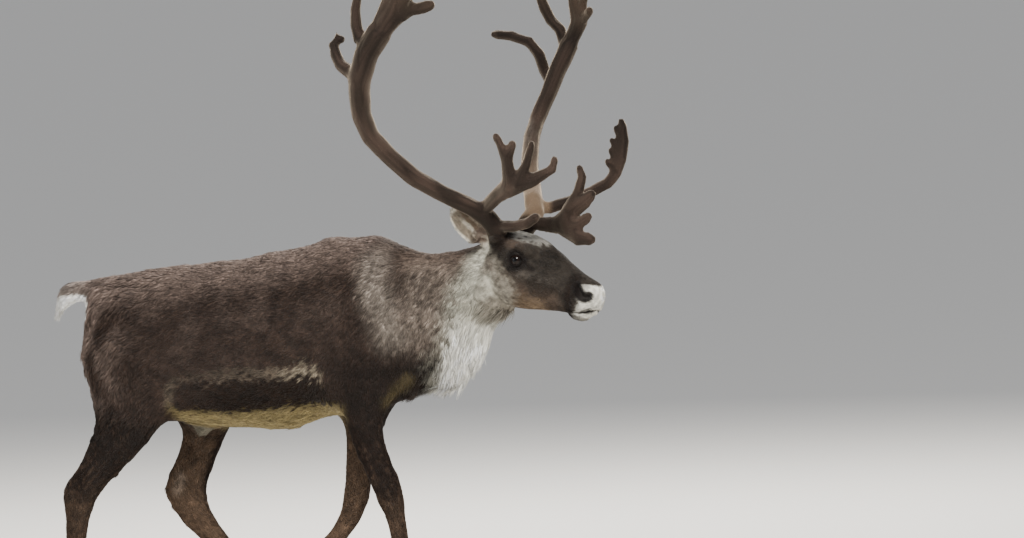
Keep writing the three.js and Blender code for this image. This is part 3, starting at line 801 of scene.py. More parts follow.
# %% Where the markings run
# (places along the line, their heights or their places forward)
BACK_LINE = (
    [-626, -574, -490, -400, -200, 0, 90, 165, 240, 310, 370],
    [940, 1036, 1062, 1074, 1097, 1116, 1140, 1161, 1168, 1154, 1108],
)
PALE_LINE = ([-324, -301, -208, -64, 48, 111, 155, 172], [722, 749, 764, 772, 775, 780, 778, 762])
STRIPE_FOOT = ([-320, -297, -230, -150, -49, 44, 159, 200], [700, 668, 663, 660, 668, 675, 682, 690])
NECK_EDGE = ([700, 765, 828, 890, 970, 1030, 1106, 1150], [482, 498, 528, 552, 556, 580, 640, 700])
CHEEK_EDGE = ([-160, -133, -92, -68, -44, -25, -17, 12], [-20, 14, 22, 6, -26, -50, -66, -112])
MUZZLE_EDGE = (
    [-96, -75, -55, -43, -27, -12, -4, 2, 9, 14],
    [214, 227, 232, 226, 220, 214, 208, 215, 238, 262],
)
# the left legs stand elsewhere, so the flank's marks are stretched to lie between them
LEFT_FLANK = ([-900, -262, 118, 800], [-976, -338, 200, 882])


class Coat:
    """The colours of many points, with each marking laid over the ones before it."""

    def __init__(self, ground, count):
        self.colours = np.tile(COAT[ground], (count, 1))

    def lay(self, name, mask):
        self.colours = self.colours + mask[:, None] * (COAT[name] - self.colours)


def near(points, line, reach, core):
    """1 within the core of a line, falling to 0 at its reach."""
    return soft(off_line(points, line), reach, core)


# %% Markings of the trunk, the neck and the legs
def lay_flank(coat, x, y, z, fuzz):
    """The pale line, the dark stripe under it and the belly's cream, darkened as painted shade, each side
    between its legs.
    """
    x = x + soft(y, 0, 40) * (np.interp(x, *LEFT_FLANK) - x)
    line_height = np.interp(x, *PALE_LINE)
    stripe_foot = np.interp(x, *STRIPE_FOOT)
    ragged = 5 * fuzz
    along_flank = soft(x, -346, -300) * soft(x, 210, 170)
    under = soft(z + ragged, line_height + 6, line_height - 34) * along_flank
    coat.lay("stripe", 0.92 * under * soft(x, -345, -90))
    brightness = 0.14 + 0.12 * soft(x, -200, 0) + 0.62 * soft(x, 20, 110)
    from_line = np.abs(z + 1.6 * ragged - line_height - 4)
    pale = soft(from_line, 25, 0) * soft(x, -352, -290) * soft(x, 186, 160)
    coat.lay("line", pale * brightness)
    rear_end = near(np.stack([x, z], 1), [(-318, 700), (-306, 735)], 24, 6)
    coat.lay("line", 0.18 * rear_end)
    # The belly's cream is darkened and tinted olive: painted shade under the body, with green bounce light
    # from the ground.
    belly = soft(z + ragged, stripe_foot + 6, stripe_foot - 14)
    belly = belly * soft(x, -338, -292) * soft(x, 250, 190)
    coat.lay("cream_darkened_as_shade", belly)


ARMPIT = [(366, 112, 690), (392, 104, 716), (418, 88, 748)]


def trunk_colours(body_points, fuzz, broad):
    """Trunk and neck, from the back down."""
    x, y, z = body_points.T
    side = np.abs(y)
    z = z + 4 * fuzz
    x = x + 4 * fuzz
    side_view = np.stack([x, z], 1)
    top = np.interp(x, *BACK_LINE)
    coat = Coat("brown", len(x))
    # A pale band along the top of the back, and a faint one below it, are painted top light where light from
    # above falls; the third layer pales the lower rear of the thighs.
    coat.lay("back", 0.8 * soft(z, top - 130, top - 10) * soft(x, 420, 300))
    coat.lay("back", 0.14 * soft(z, top - 400, top - 120) * soft(broad, -0.6, 1.2))
    coat.lay("back", 0.52 * soft(x, -420, -540) * soft(z, 560, 760) * soft(broad, -0.8, 0.8))

    shoulder = near(side_view, [(334, 1080), (352, 985), (392, 880)], 80, 6)
    coat.lay("shoulder_grey", shoulder * (0.6 + 0.12 * broad + 0.1 * fuzz).clip(0, 1))
    coat.lay("near_black", 0.8 * soft(z, 880, 780) * soft(x, 160, 280) * soft(side, 20, 60))
    lay_flank(coat, x, y, z, fuzz)
    for sign in (-1, 1):
        armpit = off_line(body_points, np.array(ARMPIT) * [1, sign, 1])
        coat.lay("cream_darkened_as_shade", 0.28 * soft(armpit + 5 * fuzz, 44, 0))

    rump = np.sqrt(((x + 622) / 44) ** 2 + (y / 88) ** 2 + ((z - 950) / 64) ** 2)
    rump_below = soft(x, -560, -590) * soft(side, 62, 34) * soft(z, 760, 820) * soft(z, 1000, 960)
    coat.lay("white", np.maximum(soft(rump, 1.1, 0.9), rump_below))

    neck_edge = np.interp(z, *NECK_EDGE)
    neck_mid = soft(x, 384, 470) * soft(z, 790, 920)
    coat.lay("neck_grey", neck_mid * (0.66 + 0.14 * broad + 0.12 * fuzz).clip(0, 1))
    coat.lay("neck_top", soft(x, 380, 430) * soft(z, 1040, 1110) * 0.85)
    pale_share = soft(x + 10 * fuzz + 14 * broad, neck_edge - 50, neck_edge + 30)
    pale_share = pale_share * (0.9 - 0.3 * soft(fuzz, 0.5, 1.4))
    coat.lay("neck_pale", pale_share * soft(z, 690, 760))
    white = soft(x + 8 * fuzz, neck_edge - 16, neck_edge + 30) * soft(z, 960, 840)
    coat.lay("mane_white", white)
    flecks = near(side_view, [(588, 1052), (572, 985), (560, 930)], 38, 10)
    coat.lay("brown", 0.66 * (flecks * soft(fuzz, 0, 0.8)))
    tuft = soft(np.linalg.norm(body_points - [-264, 0, 588], axis=1), 44, 24)
    coat.lay("neck_pale", 0.7 * tuft)
    return coat.colours


def leg_colours(body_points, fuzz, broad):
    x, y, z = body_points.T
    inner = soft(np.abs(y), 96, 76)
    coat = Coat("leg", len(x))
    coat.lay("near_black", 0.5 * soft(broad, -0.3, 1.4))
    coat.lay("leg_pale", 0.25 * soft(fuzz, 0.2, 1.7))
    hock = near(body_points, [(-405, 70, 420), (-392, 68, 455)], 30, 8)
    coat.lay("shoulder_grey", 0.75 * hock)
    coat.lay("leg_pale", 0.3 * soft(z + 20 * broad, 480, 370))
    coat.lay("near_black", 0.4 * (1 - inner) * soft(z, 480, 600))
    coat.lay("leg_pale", 0.6 * inner * soft(z, 660, 540))
    return coat.colours


# %% Markings of the face
def face_colours(head_points, fuzz, broad, openings):
    """The head, from the nose bridge to the cheeks and then the muzzle."""
    x, y, z = head_points.T
    side_view = np.stack([x + 3 * fuzz, z + 3 * fuzz], 1)
    coat = Coat("face", len(x))
    coat.lay("forehead", 0.6 * soft(x, 40, -20) * soft(z, 16, 34))
    under_eye = near(side_view, [(34, -34), (64, -22), (118, -22)], 20, 3)
    coat.lay("shoulder_grey", 0.12 * under_eye)
    jaw = soft(z + 9 * fuzz + 7 * broad, -24, -84) * soft(x, 190, 135)
    coat.lay("jaw_brown", 0.8 * jaw)
    tan = soft(off_line(side_view, [(34, -124), (92, -114)]) + 8 * fuzz, 46, 0)
    coat.lay("jaw_tan", 0.8 * tan * (0.85 + 0.2 * broad + 0.2 * fuzz).clip(0, 1))
    cheek = np.interp(z, *CHEEK_EDGE) + 7 * fuzz + 5 * broad
    pale_share = soft(x, cheek + 30, cheek - 22) * (0.85 + 0.12 * broad).clip(0, 1)
    coat.lay("cheek_pale", pale_share)
    coat.lay("neck_pale", 0.5 * soft(x, cheek - 40, cheek - 90))
    under_ear = near(side_view, [(-118, -16), (-96, -50)], 42, 6)
    coat.lay("neck_grey", 0.5 * under_ear)
    crown = np.sqrt(((x + 22) / 70) ** 2 + (y / 64) ** 2 + ((z - 73) / 31) ** 2) + 0.16 * fuzz
    coat.lay("crown", 0.95 * soft(crown, 1.25, 0.7) * soft(fuzz, -2.2, -0.6))
    tear = near(side_view, [(34, 6), (54, -10)], 17, 4) * soft(np.abs(y), 40, 55)
    coat.lay("bare_black", 0.75 * tear)
    burr = soft(np.linalg.norm((head_points * [1, 1, 1.2]) - [-100, 0, 30], axis=1), 105, 70)
    coat.lay("near_black", 0.85 * burr * soft(np.abs(y), 22, 38) * soft(x, -34, -66))

    dark_lip = near(side_view, [(186, 8), (188, -34), (198, -66), (196, -92)], 26, 8)
    coat.lay("near_black", 0.85 * dark_lip)
    muzzle_edge = np.interp(z, *MUZZLE_EDGE) + 3 * fuzz + 12 * soft(np.abs(y), 26, 4) * soft(z, -16, 4)
    ring = soft(x, muzzle_edge - 9, muzzle_edge + 8) * soft(z, -92, -86)
    # Painted shade on the white muzzle: greyer under the mouth, along the lower edge of the upper lip and on
    # the side of the snout.
    lower_lip_shade = soft(x + 4 * fuzz, 206, 224) * soft(z, -84, -88) * soft(z, -106, -97)
    coat.lay("muzzle_white", ring * (0.9 + 0.1 * broad).clip(0, 1))
    coat.lay("muzzle_painted_shade", 0.7 * lower_lip_shade)
    low_lip_shade = near(side_view, [(232, -74), (252, -66), (268, -50)], 20, 4)
    coat.lay("muzzle_painted_shade", 0.75 * ring * low_lip_shade * soft(fuzz, -1.5, 1))
    snout_side_shade = near(side_view, [(226, 4), (218, -32), (226, -64)], 22, 4)
    coat.lay("muzzle_painted_shade", 0.65 * ring * snout_side_shade)
    mouth_front = near(side_view, [(262, -62), (250, -70)], 9, 4) * soft(np.abs(y), 8, 16)
    coat.lay("near_black", 0.75 * mouth_front)
    nostril_wall = soft(openings[:, 0] + 1.5 * fuzz, 24, 12)
    coat.lay("near_black", 0.55 * nostril_wall)
    coat.lay("bare_black", 0.96 * soft(openings[:, 0], 19.5, 12))
    coat.lay("bare_black", 0.94 * soft(openings[:, 1], 5.5, 2.2))
    for sign in (-1, 1):
        eye = np.linalg.norm(head_points - [0, sign * EYE_SIDE, 0], axis=1)
        coat.lay("bare_black", 0.85 * soft(eye + 2 * fuzz, 47, 27) * soft(np.abs(y), 44, 60))
    return coat.colours


# %% Markings of the ears and the tail
EAR_BASE = (-120, 66, 8)
EAR_TIPS = {-1: (-205, 172, 82), 1: (-216, 166, 40)}
EAR_DEPTHS = ([0, 0.28, 0.62, 1], [16, 19, 13, 0])
EAR_HALF_WIDTHS = ([0, 0.28, 0.45, 0.62, 0.78, 0.9, 1], [25, 37, 39, 37, 30, 20, 6])


def ear_places(head_points):
    """For each point: its share of the ear's length, its place towards the upper edge, and the cup."""
    along, across, inside = np.zeros((3, len(head_points)))
    for _, side in SIDES:
        mirror = np.array([1, side, 1])
        length = (np.array(EAR_TIPS[side]) - EAR_BASE) * mirror
        hollow = np.array([0.74, side * 0.52, -0.2])
        wide = np.cross(length, hollow)
        wide /= np.linalg.norm(wide)
        back = np.cross(wide, length)
        back *= np.sign(back @ hollow) / np.linalg.norm(back)
        own = head_points[:, 1] * side > 0
        from_base = head_points[own] - EAR_BASE * mirror
        along[own] = from_base @ length / (length @ length)
        across[own] = -side * (from_base @ wide) / np.interp(along[own], *EAR_HALF_WIDTHS)
        depth_here = np.interp(along[own], *EAR_DEPTHS) * (1 - across[own] ** 2).clip(0, 1)
        inside[own] = soft(from_base @ back + depth_here, -4.5, -1.5)
    return along, across, inside


def ear_colours(head_points, fuzz):
    along, across, inside = ear_places(head_points)
    coat = Coat("ear_grey", len(along))
    coat.lay("forehead", 0.35 * soft(fuzz, 0.2, 1.4))
    # Inside the ear's cup, a darker streak along the fold and a darker hollow are painted shade, and a pale
    # line along a ridge is a painted highlight.
    ruffled = across + 0.08 * fuzz
    fold = np.interp(along, [0.1, 0.35, 0.6, 0.95], [0.5, 0.3, 0.3, 0.6])
    coat.lay("leg_pale", 0.75 * inside * soft(np.abs(ruffled - fold), 0.32, 0.06))
    hollow = inside * soft(np.abs(ruffled + 0.5), 0.4, 0.1) * soft(along, 0.9, 0.6)
    coat.lay("forehead", 0.3 * hollow)
    ridge = np.interp(along, [0.1, 0.7], [0.05, -0.12])
    ridge_highlight = 0.4 * inside * soft(np.abs(ruffled - ridge), 0.24, 0.02)
    coat.lay("ear_rim", ridge_highlight * soft(along, 0.75, 0.55))
    rim = np.maximum(soft(np.abs(across), 0.7, 0.92), soft(along, 0.84, 0.96))
    coat.lay("ear_rim", 0.85 * rim)
    coat.lay("leg", 0.75 * soft(along + 0.06 * fuzz, 0.34, 0.12))
    return coat.colours


def tail_colours(body_points, fuzz):
    x, y, z = body_points.T
    coat = Coat("white", len(x))
    stripe = soft(z + 3 * fuzz, 1002, 1020) * soft(x, -724, -700) * soft(np.abs(y), 52, 38)
    coat.lay("tail_brown", 0.85 * stripe)
    return coat.colours


# %% All the markings together
def coat_colours(points, part_shares, openings):
    """The coat's colour at any point, blended between the parts that it belongs to."""
    body_points, head_points = in_body(points), in_head(points)
    fuzz, broad = mottle(points, 0.009, 3), mottle(points, 0.06, 5)
    trunk = trunk_colours(body_points, fuzz, broad)
    leg = leg_colours(body_points, fuzz, broad)
    face = face_colours(head_points, fuzz, broad, openings)
    ear = ear_colours(head_points, fuzz)
    tail = tail_colours(body_points, fuzz)
    anklet = np.tile(COAT["leg_pale"], (len(points), 1))
    thigh = leg + soft(body_points[:, 2], 650, 800)[:, None] * (trunk - leg)
    layers = (trunk, trunk, face, ear, tail, thigh, leg, anklet)
    colours = sum(part_shares[:, [i]] * layer for i, layer in enumerate(layers))
    shade = 1 + 0.2 * fuzz + 0.12 * mottle(points, 0.025, 9)
    return (colours * shade[:, None]).clip(0.002, 0.9)


# %% Finishes that read their colour from the piece
def store_colours(mesh, colours):
    """Keeps a colour at each point of a mesh, for its material to read."""
    layer = mesh.color_attributes.new("coat_colour", "FLOAT_COLOR", "POINT")
    layer.data.foreach_set("color", np.c_[colours, np.ones(len(colours))].astype(np.float32).ravel())


def hair_material(name, roughness, grain_size, grain_depth):
    """A finish that takes its colour from the piece and its fine relief from a noise."""
    material, shader = new_material(name, roughness)
    links = material.node_tree.links
    colour = new_node(material, "ShaderNodeAttribute")
    colour.attribute_name = "coat_colour"
    place = new_node(material, "ShaderNodeTexCoord")
    grain = new_node(material, "ShaderNodeTexNoise", Scale=grain_size, Detail=3)
    bump = new_node(material, "ShaderNodeBump", Strength=0.5, Distance=grain_depth)
    links.new(colour.outputs["Color"], shader.inputs["Base Color"])
    links.new(place.outputs["Object"], grain.inputs["Vector"])
    links.new(grain.outputs["Fac"], bump.inputs["Height"])
    links.new(bump.outputs["Normal"], shader.inputs["Normal"])
    shader.inputs["Specular IOR Level"].default_value = 0.1
    return material, shader


# %% The skin's own finish
LID_EDGE_SHADE = 0.85
skin_finish, _ = hair_material("short_coat", 0.85, 420, 0.0012)
skin_mesh.materials.clear()
skin_mesh.materials.append(skin_finish)
skin_colours = coat_colours(P, shares, openings)
lid_edge = soft(np.abs(lid_margin - 1.0), 0.16, 0.05)[:, None]
skin_colours = skin_colours * (1 - LID_EDGE_SHADE * lid_edge)
skin_colours = skin_colours + COAT["bare_black"] * LID_EDGE_SHADE * lid_edge
store_colours(skin_mesh, skin_colours)
print("skin colours stored at", len(skin_colours), "points")

# %% [markdown]
# ## The lie of the coat
# Hair grows from the nose back over the face, down the neck and shoulders, back along the ribs and
# down the thighs and legs. These directions are written at a few dozen places, and every root takes
# a blend of the nearest ones, flattened onto the skin under it.

# %% Places with the way the hair lies there
BODY_LIE = [
    ((300, 60, 1150), (-1, 0.1, -0.25)),
    ((0, 60, 1105), (-1, 0.1, -0.12)),
    ((-300, 60, 1080), (-1, 0.1, -0.15)),
    ((-520, 60, 1045), (-1, 0.15, -0.55)),
    ((-600, 90, 930), (-0.3, 0.1, -1)),
    ((-500, 160, 880), (-0.55, 0, -0.85)),
    ((-400, 170, 960), (-0.85, 0, -0.5)),
    ((-600, 100, 740), (-0.1, 0, -1)),
    ((-450, 160, 700), (-0.35, 0, -1)),
    ((-300, 180, 780), (-0.8, 0, -0.6)),
    ((-100, 195, 950), (-0.96, 0, -0.28)),
    ((-100, 190, 760), (-0.97, 0, -0.22)),
    ((100, 190, 900), (-0.92, 0, -0.4)),
    ((280, 150, 1000), (-0.6, 0, -0.8)),
    ((280, 160, 820), (-0.35, 0, -0.93)),
    ((420, 100, 780), (-0.1, 0, -1)),
    ((450, 20, 740), (-0.3, 0, -1)),
    ((0, 40, 585), (-1, 0, -0.05)),
    ((-250, 40, 610), (-1, 0, 0.1)),
    ((0, 140, 640), (-0.95, 0, -0.3)),
    ((400, 20, 1135), (-1, 0, -0.1)),
    ((560, 20, 1125), (-1, 0, -0.15)),
    ((430, 100, 1020), (-0.55, 0, -0.85)),
    ((540, 90, 1020), (-0.5, 0, -0.85)),
    ((620, 80, 1000), (-0.45, 0, -0.87)),
    ((560, 70, 850), (-0.3, 0, -0.95)),
    ((640, 20, 850), (-0.35, 0, -0.94)),
    ((500, 20, 720), (-0.35, 0, -0.94)),
    ((-640, 10, 1035), (-1, 0, -0.1)),
    ((-700, 10, 1000), (-0.8, 0, -0.6)),
    ((-640, 10, 980), (-0.9, 0, -0.4)),
    ((-722, 5, 965), (-0.4, 0, -1)),
]
HEAD_LIE = [
    ((262, 10, 10), (-0.8, 0.1, 0.5)),
    ((272, 20, -30), (-0.7, 0.6, 0)),
    ((240, 40, -60), (-0.8, 0.2, -0.5)),
    ((200, 10, 30), (-1, 0, 0.1)),
    ((100, 20, 52), (-1, 0, 0.15)),
    ((20, 20, 75), (-1, 0, 0.1)),
    ((-60, 20, 76), (-1, 0, -0.1)),
    ((150, 48, -30), (-1, 0, -0.1)),
    ((60, 66, -30), (-1, 0, -0.15)),
    ((40, 60, -90), (-0.95, 0, -0.25)),
    ((0, 80, 40), (-0.9, 0.2, 0.3)),
    ((-50, 78, -40), (-0.85, 0, -0.5)),
    ((-60, 40, -130), (-0.7, 0, -0.7)),
    ((140, 10, -108), (-1, 0, 0)),
    ((230, 15, -100), (-0.9, 0, -0.3)),
    ((-110, 60, -20), (-0.7, 0.2, -0.7)),
    ((-140, 90, 25), (-0.6, 0.72, 0.4)),
    ((-180, 135, 55), (-0.55, 0.75, 0.45)),
    ((-205, 165, 80), (-0.6, 0.7, 0.4)),
]
LEG_LINES = {
    "hind_right": [(-520, 620), (-560, 520), (-640, 440), (-658, 330), (-662, 220), (-640, 110), (-600, 40)],
    "hind_left": [(-360, 620), (-345, 520), (-390, 420), (-330, 300), (-266, 220), (-205, 120), (-180, 50)],
    "fore_right": [(290, 700), (285, 560), (335, 440), (366, 340), (376, 220), (406, 100), (440, 40)],
    "fore_left": [(220, 700), (180, 560), (163, 430), (145, 340), (90, 265), (18, 160), (16, 80)],
}


def lie_places():
    """All places and directions in the frame, both sides, as arrays."""
    places, ways = [], []
    for table, move, turn in ((BODY_LIE, from_body, np.eye(3)), (HEAD_LIE, from_head, HEAD_TURN)):
        for place, way in table:
            for side in (-1, 1):
                mirror = np.array([1, side, 1])
                places.append(move(np.array(place) * mirror))
                ways.append(turn @ (np.array(way) * mirror))
    for foot, line in LEG_LINES.items():
        for (x, z), (below_x, below_z) in zip(line[:-1], line[1:]):
            places.append(from_body((x, LEG_SPREAD * LEG_SIDE[foot], z)))
            ways.append(np.array([below_x - x, 0, below_z - z], float))
    ways = np.array(ways)
    return np.array(places), ways / np.linalg.norm(ways, axis=1)[:, None]


LIE_AT, LIE_WAY = lie_places()
print("places with a direction for the hair", len(LIE_AT))


def lie_of_coat(points, normals):
    """The direction of the hair at each point, along the skin."""
    way = np.zeros_like(points)
    for place, direction in zip(LIE_AT, LIE_WAY):
        distance = ((points - place) ** 2).sum(1)
        way += direction / (distance + 0.03**2)[:, None] ** 2
    way = unit(way)
    return unit(way - normals * (way * normals).sum(1)[:, None])


# %% [markdown]
# ## One lock of hair, repeated as arrays
# A lock is a closed, pointed sliver: a root point, one or two three-cornered rings and a tip, six
# triangles for each ring. It leaves the skin at a small angle and bends back down along the body.
# Thousands of them are worked out together and written as one mesh, which is far quicker than
# separate objects and lets every corner carry its colour and its patch of the skin's layout.

# %% The lock maker
PATCH = 0.003
# each lock is painted darker at its root, as shade deep in the coat, and lighter at its tip, as light on the
# coat's surface
ROOT_PAINTED_SHADE, TIP_PAINTED_LIGHT = 0.6, 1.22
# the share of its lift that a lock loses by its tip, how deep it sits, and how much deeper its root
# sits, both in widths of the lock
BENT_BACK, SUNK, ROOT_SUNK = 0.75, 0.15, 0.2


def lock_faces(rings):
    """The triangles of one lock: points are the root, then three for each ring, then the tip."""
    tip = 3 * rings + 1
    left, ridge, right_side = 1, 2, 3
    faces = [(0, ridge, left), (0, right_side, ridge), (0, left, right_side)]
    for ring in range(rings - 1):
        for a, b in ((0, 1), (1, 2), (2, 0)):
            low, high = 1 + 3 * ring, 4 + 3 * ring
            faces += [(low + a, low + b, high + b), (low + a, high + b, high + a)]
    last = 3 * rings - 2
    return faces + [(tip, last, last + 1), (tip, last + 1, last + 2), (tip, last + 2, last)]


def locks(
    name, roots, normals, lie, layout, colours, length, width, lift, rings=1, droop=0.0, fatness=0.45
):
    """One mesh of closed locks of hair, with their colours and their patches of the layout."""
    count = len(roots)
    across = unit(np.cross(lie, normals))
    start = lie * np.cos(lift)[:, None] + normals * np.sin(lift)[:, None]
    bend = normals * (-BENT_BACK * np.sin(lift) * length)[:, None]
    bend = bend + np.array([0, 0, -1.0]) * (droop * length)[:, None]
    stops = {1: [0.36], 2: [0.24, 0.62], 3: [0.16, 0.42, 0.7]}[rings]
    girths = {1: [1.0], 2: [1.0, 0.8], 3: [0.9, 1.0, 0.7]}[rings]

    def centre(t):
        along = roots + start * (length * t)[:, None] + bend * t * t
        return along - normals * (SUNK * width)[:, None]

    points = [centre(0) - normals * (ROOT_SUNK * width)[:, None]]
    painted_shading, patches = [ROOT_PAINTED_SHADE], [(0, -0.5)]
    for t, girth in zip(stops, girths):
        middle = centre(t)
        half = (width * girth / 2)[:, None]
        high = (width * girth * fatness)[:, None]
        points += [middle - across * half, middle + normals * high, middle + across * half]
        painted_shading += [0.86 + 0.2 * t] * 3
        patches += [(-0.5, t - 0.5), (0, t - 0.5), (0.5, t - 0.5)]
    points.append(centre(1))
    painted_shading.append(TIP_PAINTED_LIGHT)
    patches.append((0, 0.5))

    size = len(points)
    points = np.stack(points, 1).reshape(-1, 3)
    faces = np.array(lock_faces(rings))
    corners = (np.arange(count)[:, None, None] * size + faces).ravel()
    mesh = bpy.data.meshes.new(name)
    mesh.vertices.add(len(points))
    mesh.vertices.foreach_set("co", points.astype(np.float32).ravel())
    mesh.loops.add(len(corners))
    mesh.loops.foreach_set("vertex_index", corners.astype(np.int32))
    mesh.polygons.add(len(corners) // 3)
    mesh.polygons.foreach_set("loop_start", np.arange(0, len(corners), 3, dtype=np.int32))
    mesh.update(calc_edges=True)
    mesh.shade_smooth()
    spread = (layout[:, None] + np.array(patches) * PATCH)[:, faces.ravel()]
    mesh.uv_layers.new(name="OFBake").data.foreach_set("uv", spread.astype(np.float32).ravel())
    # pale hair is spared most of this painted shading
    evenness = 0.95 * soft(colours.mean(1), 0.1, 0.55)[:, None]
    root_to_tip_shading = evenness + (1 - evenness) * np.array(painted_shading)
    store_colours(mesh, (colours[:, None] * root_to_tip_shading[:, :, None]).reshape(-1, 3).clip(0, 0.95))
    return mesh


# %% Gathering the hair into clumps
def gathered(roots, normals, lie, length, share):
    """Turns each hair towards the tip of its nearest leader, and says which leader that is."""
    leaders = np.where(rng.random(len(roots)) < share)[0]
    finder = KDTree(len(leaders))
    for i, leader in enumerate(leaders):
        finder.insert(roots[leader], i)
    finder.balance()
    own = np.array([leaders[finder.find(root)[1]] for root in roots])
    to_tip = roots[own] + lie[own] * length[own, None] * 1.1 * MM - roots
    to_tip -= normals * (to_tip * normals).sum(1)[:, None]
    return unit(to_tip), own


# %% Spreading roots over the skin
def scattered(count, weight):
    """Roots spread by weight over the triangles: which triangle, and shares of its corners."""
    heap = np.cumsum(AREA * weight)
    spots = (np.arange(count) + rng.random(count)) / count * heap[-1]
    triangle = np.searchsorted(heap, spots).clip(0, len(AREA) - 1)
    first, second = rng.random(count), rng.random(count)
    fold = first + second > 1
    first[fold], second[fold] = 1 - first[fold], 1 - second[fold]
    return triangle, np.stack([1 - first - second, first, second], 1)


def at_roots(values, triangle, corner_shares):
    """Values of the skin's points, read at the roots."""
    return (values[CORNERS[triangle]] * corner_shares[:, :, None]).sum(1)


def planted(count, weight):
    """Roots, with their normals, parts, openings and places in the layout."""
    triangle, corner_shares = scattered(count, weight[CORNERS].mean(1))

    def here(values):
        return at_roots(values, triangle, corner_shares)

    layout = (LAYOUT[triangle] * corner_shares[:, :, None]).sum(1)
    return here(P), unit(here(N)), here(shares), here(openings), layout


# %% [markdown]
# ## How long, wide and steep each part's hair is
# The trunk's coat is about a finger's width long and lies flat. It grows longer and rougher over the
# rump, long and hanging on the throat, and only a few millimetres long on the face and the legs,
# where it is seen mostly as a fine grain.

# %% The hair's sizes, and where it grows
LENGTH = per_part(trunk=22, neck=28, head=8, ear=10, tail=33, thigh=19, shank=11, hoof=10)
WIDTH = per_part(trunk=2.6, neck=2.3, head=1.3, ear=1.4, tail=3.3, thigh=2.5, shank=1.7, hoof=1.8)
LIFT = per_part(trunk=0.20, neck=0.22, head=0.15, ear=0.20, tail=0.24, thigh=0.18, shank=0.16, hoof=0.2)
CROWDING = per_part(trunk=52, neck=54, head=110, ear=120, tail=220, thigh=54, shank=72, hoof=0)
COAT_COUNT = 204000
bare = soft(lid_margin, 1.25, 1.05)
bare = np.maximum(bare, soft(openings[:, 0], 11, 8))
bare = np.maximum(bare, soft(openings[:, 1], 3.5, 2))
crowd = (shares @ CROWDING) * (1 - bare) * (1 - soft(shares[:, 7], 0.3, 0.6))
roots, root_normals, root_parts, root_openings, root_layout = planted(COAT_COUNT, crowd)
root_body, root_head = in_body(roots), in_head(roots)
x, y, z = root_body.T
print("roots", len(roots), "over", round(AREA.sum(), 2), "square metres")

# %% How the hair lies, lifts and clumps
BURR_AT = [98, 51, 44]
flesh = (root_parts[:, 0] + root_parts[:, 5]).clip(0, 1)
rump = soft(x, -300, -500) * soft(z, 540, 660) * flesh
rough = (rump + 0.5 * soft(z, 900, 1040) * flesh).clip(0, 1)
near_head = soft(x, 540, 680) * root_parts[:, 1]
burr = soft(np.linalg.norm(np.abs(root_head) - BURR_AT, axis=1), 46, 30) * root_parts[:, 2]

lie = lie_of_coat(roots, root_normals)
tail_tip = root_parts[:, 4] * soft(x, -696, -716)
lie = unit(lie + 1.6 * tail_tip[:, None] * [-0.4, 0, -0.92])
swirl = mottle(roots, 0.05, 21) * (0.12 + 0.22 * rump) + rng.normal(0, 0.12, len(roots))
side_way = np.cross(root_normals, lie)
lie = unit(lie * np.cos(swirl)[:, None] + side_way * np.sin(swirl)[:, None])
length = (root_parts @ LENGTH) * (1 + 0.3 * rump) * (1 - 0.5 * near_head) * (1 + 0.8 * burr)
to_tip, leader = gathered(roots, root_normals, lie, length, 0.20 - 0.13 * rough)
pull = (0.35 + 0.45 * rough)[:, None]
lie = unit(lie * (1 - pull) + to_tip * pull)

length = length * rng.uniform(0.75, 1.25, len(roots))
width = (root_parts @ WIDTH) * rng.uniform(0.75, 1.25, len(roots)) * (1 - 0.3 * near_head)
stretched = roots - 0.78 * lie * (roots * lie).sum(1)[:, None]
ruffle = mottle(stretched, 0.012, 77) * (0.35 + 0.65 * rough) * flesh
roots = roots + root_normals * (1.6 * rough * (ruffle + 0.6).clip(0, 2) * flesh)[:, None] * MM
clump_lift, clump_tone = rng.normal(0, 1, (2, len(roots)))
clump_lift, clump_tone = clump_lift[leader], clump_tone[leader]
lift = (root_parts @ LIFT) * rng.uniform(0.6, 1.4, len(roots))
lift = lift + (0.03 + 0.11 * rough) * clump_lift.clip(-1, 2)
lift += 0.09 * ruffle
lift = (lift + 0.35 * burr).clip(0.05, 0.9)
print("length", round(length.min(), 1), "to", round(length.max(), 1), "mm")

# %% The hair's colour and finish
root_colours = coat_colours(roots, root_parts, root_openings)
# Each lock's tone differs at random with its clump, and is painted lighter on the raised ridges of the
# ruffle and darker between them, as light and shade.
tones_and_ridge_light = 1 + (0.09 + 0.07 * rough) * clump_tone + 0.16 * ruffle
root_colours *= (rng.uniform(0.78, 1.22, len(roots)) * tones_and_ridge_light)[:, None]
hair_finish, hair_shader = hair_material("hair", 0.6, 900, 0.0003)
hair_shader.inputs["Sheen Weight"].default_value = 0.04
hair_shader.inputs["Sheen Roughness"].default_value = 0.45
print("mean colour of the hair", root_colours.mean(0).round(3).tolist())

